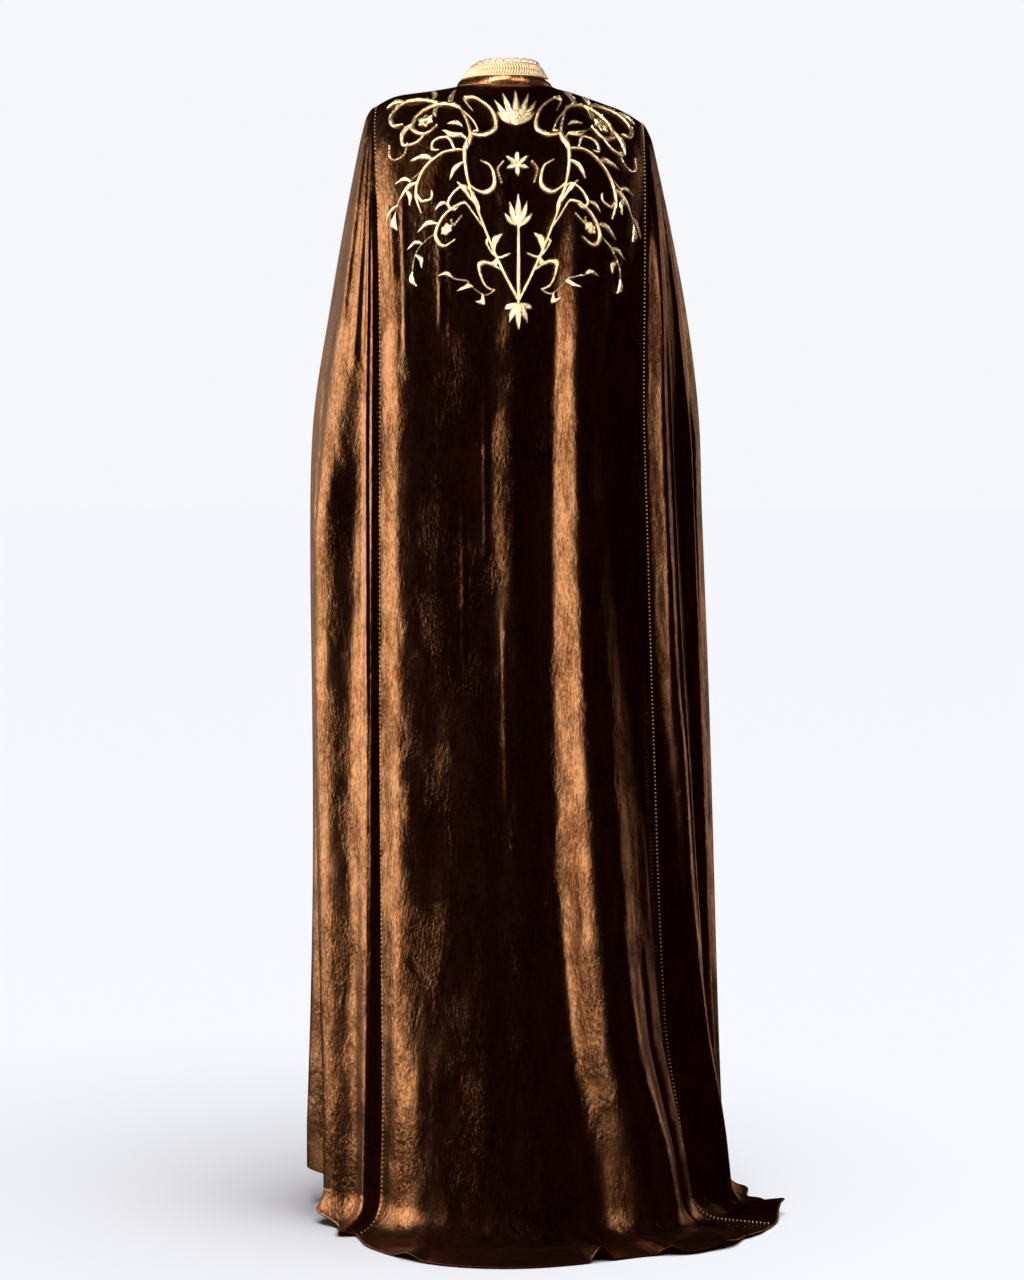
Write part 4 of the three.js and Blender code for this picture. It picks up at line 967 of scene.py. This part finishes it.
# Hand stitches beside the long seams, and the hem's turned edge
STITCH_RISE = 0.35
stitches = Batch()
for column, step, radius in ((1, 6.4, 0.75), (-2, 5.6, 0.95)):
    line = back_grid[column]
    raised = line + STITCH_RISE * back_normals[column]
    length = arc_lengths(line)
    for at in np.arange(6, length[-1] - 4, step * (1)):
        centre = np.array([np.interp(at, length, raised[:, c]) for c in range(3)])
        add_bead(stitches, centre, radius, 5)
stitch_piece = stitches.make("seam_hand_stitches", stitch_gold)
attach(stitch_piece, "root")
METAL_TRIM.append(stitch_piece)
hem = Batch()
for panel, (grid, normals) in GRIDS.items():
    line = grid[2:-2, -1] - normals[2:-2, -1] * 0.9
    add_tube(hem, line, 0.85, 6)
hem_piece = hem.make("hem_edge", hem_brown)
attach(hem_piece, "root")

# Floor, backdrop, lights and camera

floor_material, _, _, floor_shader = node_material("studio_floor")
floor_shader.inputs["Base Color"].default_value = (0.9, 0.922, 0.975, 1)
floor_shader.inputs["Roughness"].default_value = 0.95
floor_shader.inputs["Specular IOR Level"].default_value = 0.1
FLOOR_HALF = 60000
FLOOR_DROP = 0.5
around = ((-1, -1), (1, -1), (1, 1), (-1, 1))
corners = [(x * FLOOR_HALF, y * FLOOR_HALF, FLOOR - FLOOR_DROP) for x, y in around]
floor_plane = new_object("studio_floor", corners, [(0, 1, 2, 3)], floor_material)
floor_plane.visible_glossy = False
floor_plane.visible_diffuse = False

# The room is a pale even white to look at, and dim where the cloth reflects it
world = bpy.data.worlds.new("studio")
bpy.context.scene.world = world
world.use_nodes = True
world_nodes, world_links = world.node_tree.nodes, world.node_tree.links
pale, dim = world_nodes["Background"], world_nodes.new("ShaderNodeBackground")
pale.inputs["Color"].default_value = (0.92, 0.935, 0.97, 1)
pale.inputs["Strength"].default_value = 1.0
dim.inputs["Color"].default_value = (1.0, 0.22, 0.13, 1)
dim.inputs["Strength"].default_value = 0.017
rays, both = world_nodes.new("ShaderNodeLightPath"), world_nodes.new("ShaderNodeMixShader")
world_links.new(rays.outputs["Is Camera Ray"], both.inputs[0])
world_links.new(dim.outputs[0], both.inputs[1])
world_links.new(pale.outputs[0], both.inputs[2])
world_links.new(both.outputs[0], world_nodes["World Output"].inputs["Surface"])


def area_light(name, place, target, size, power, color, receivers):
    data = bpy.data.lights.new(name, "AREA")
    data.shape = "RECTANGLE"
    data.size, data.size_y = size
    data.energy = power
    data.color = color
    lamp = bpy.data.objects.new(name, data)
    lamp.location = place
    lamp.visible_camera = False
    lamp.rotation_euler = (Vector(target) - Vector(place)).to_track_quat("-Z", "Y").to_euler()
    lamp.light_linking.receiver_collection = receivers
    bpy.context.scene.collection.objects.link(lamp)


def shared_by(name, pieces, state="INCLUDE"):
    """A collection that limits a light to some pieces, or keeps it off them."""
    made = bpy.data.collections.new(name)
    for piece in pieces:
        made.objects.link(piece)
    for entry in made.collection_objects:
        entry.light_linking.link_state = state
    return made


off_floor = shared_by("off_floor", [floor_plane], "EXCLUDE")
metal_trim = shared_by("metal_trim", METAL_TRIM)
NEAR_WHITE = (1, 0.97, 0.93)
# name, place, target, size, watts, colour, what it lights
LAMPS = [
    ("key", (-2.57, -0.1, -0.45), (0, 0, -0.75), (3.7, 2.5), 88, NEAR_WHITE, off_floor),
    ("fill", (2.4, 1.1, -0.5), (0, 0, -0.8), (1.2, 2.4), 9, (1, 0.85, 0.7), off_floor),
    ("rim", (-1.9, 2.6, -0.5), (0, 0, -0.8), (2.4, 2.4), 9, (1, 0.82, 0.62), off_floor),
    ("front", (-1.7, -2.4, 1.1), (0, 0, -0.15), (1.0, 1.0), 150, NEAR_WHITE, metal_trim),
    ("glow", (0.9, -2.9, 0.2), (0, 0, -0.15), (1.6, 1.6), 55, NEAR_WHITE, metal_trim),
    ("chest", (0.7, 2.6, 0.5), (0, 0, 0), (1.2, 1.2), 60, NEAR_WHITE, metal_trim),
]
for lamp_row in LAMPS:
    area_light(*lamp_row)
sun_data = bpy.data.lights.new("floor_light", "SUN")
sun_data.energy = 3.33
sun_data.angle = math.radians(60)
sun = bpy.data.objects.new("floor_light", sun_data)
sun.rotation_euler = (math.radians(9), math.radians(9), 0)
bpy.context.scene.collection.objects.link(sun)
sun.light_linking.receiver_collection = shared_by("floor", [floor_plane])

CAMERA_TURN = math.radians(9)
DISTANCE = 4.2
EYE_LEVEL = 1.05
camera_data = bpy.data.cameras.new("camera")
camera_data.lens = 84
camera_data.sensor_width = 36
camera = bpy.data.objects.new("camera", camera_data)
eye = Vector((-math.sin(CAMERA_TURN) * DISTANCE, -math.cos(CAMERA_TURN) * DISTANCE, FLOOR * MM + EYE_LEVEL))
aim = Vector((0.01, 0.0, -0.771))
camera.location = eye
camera.rotation_euler = (aim - eye).to_track_quat("-Z", "Y").to_euler()
bpy.context.scene.collection.objects.link(camera)
bpy.context.scene.camera = camera
bpy.context.scene.view_settings.view_transform = "Standard"
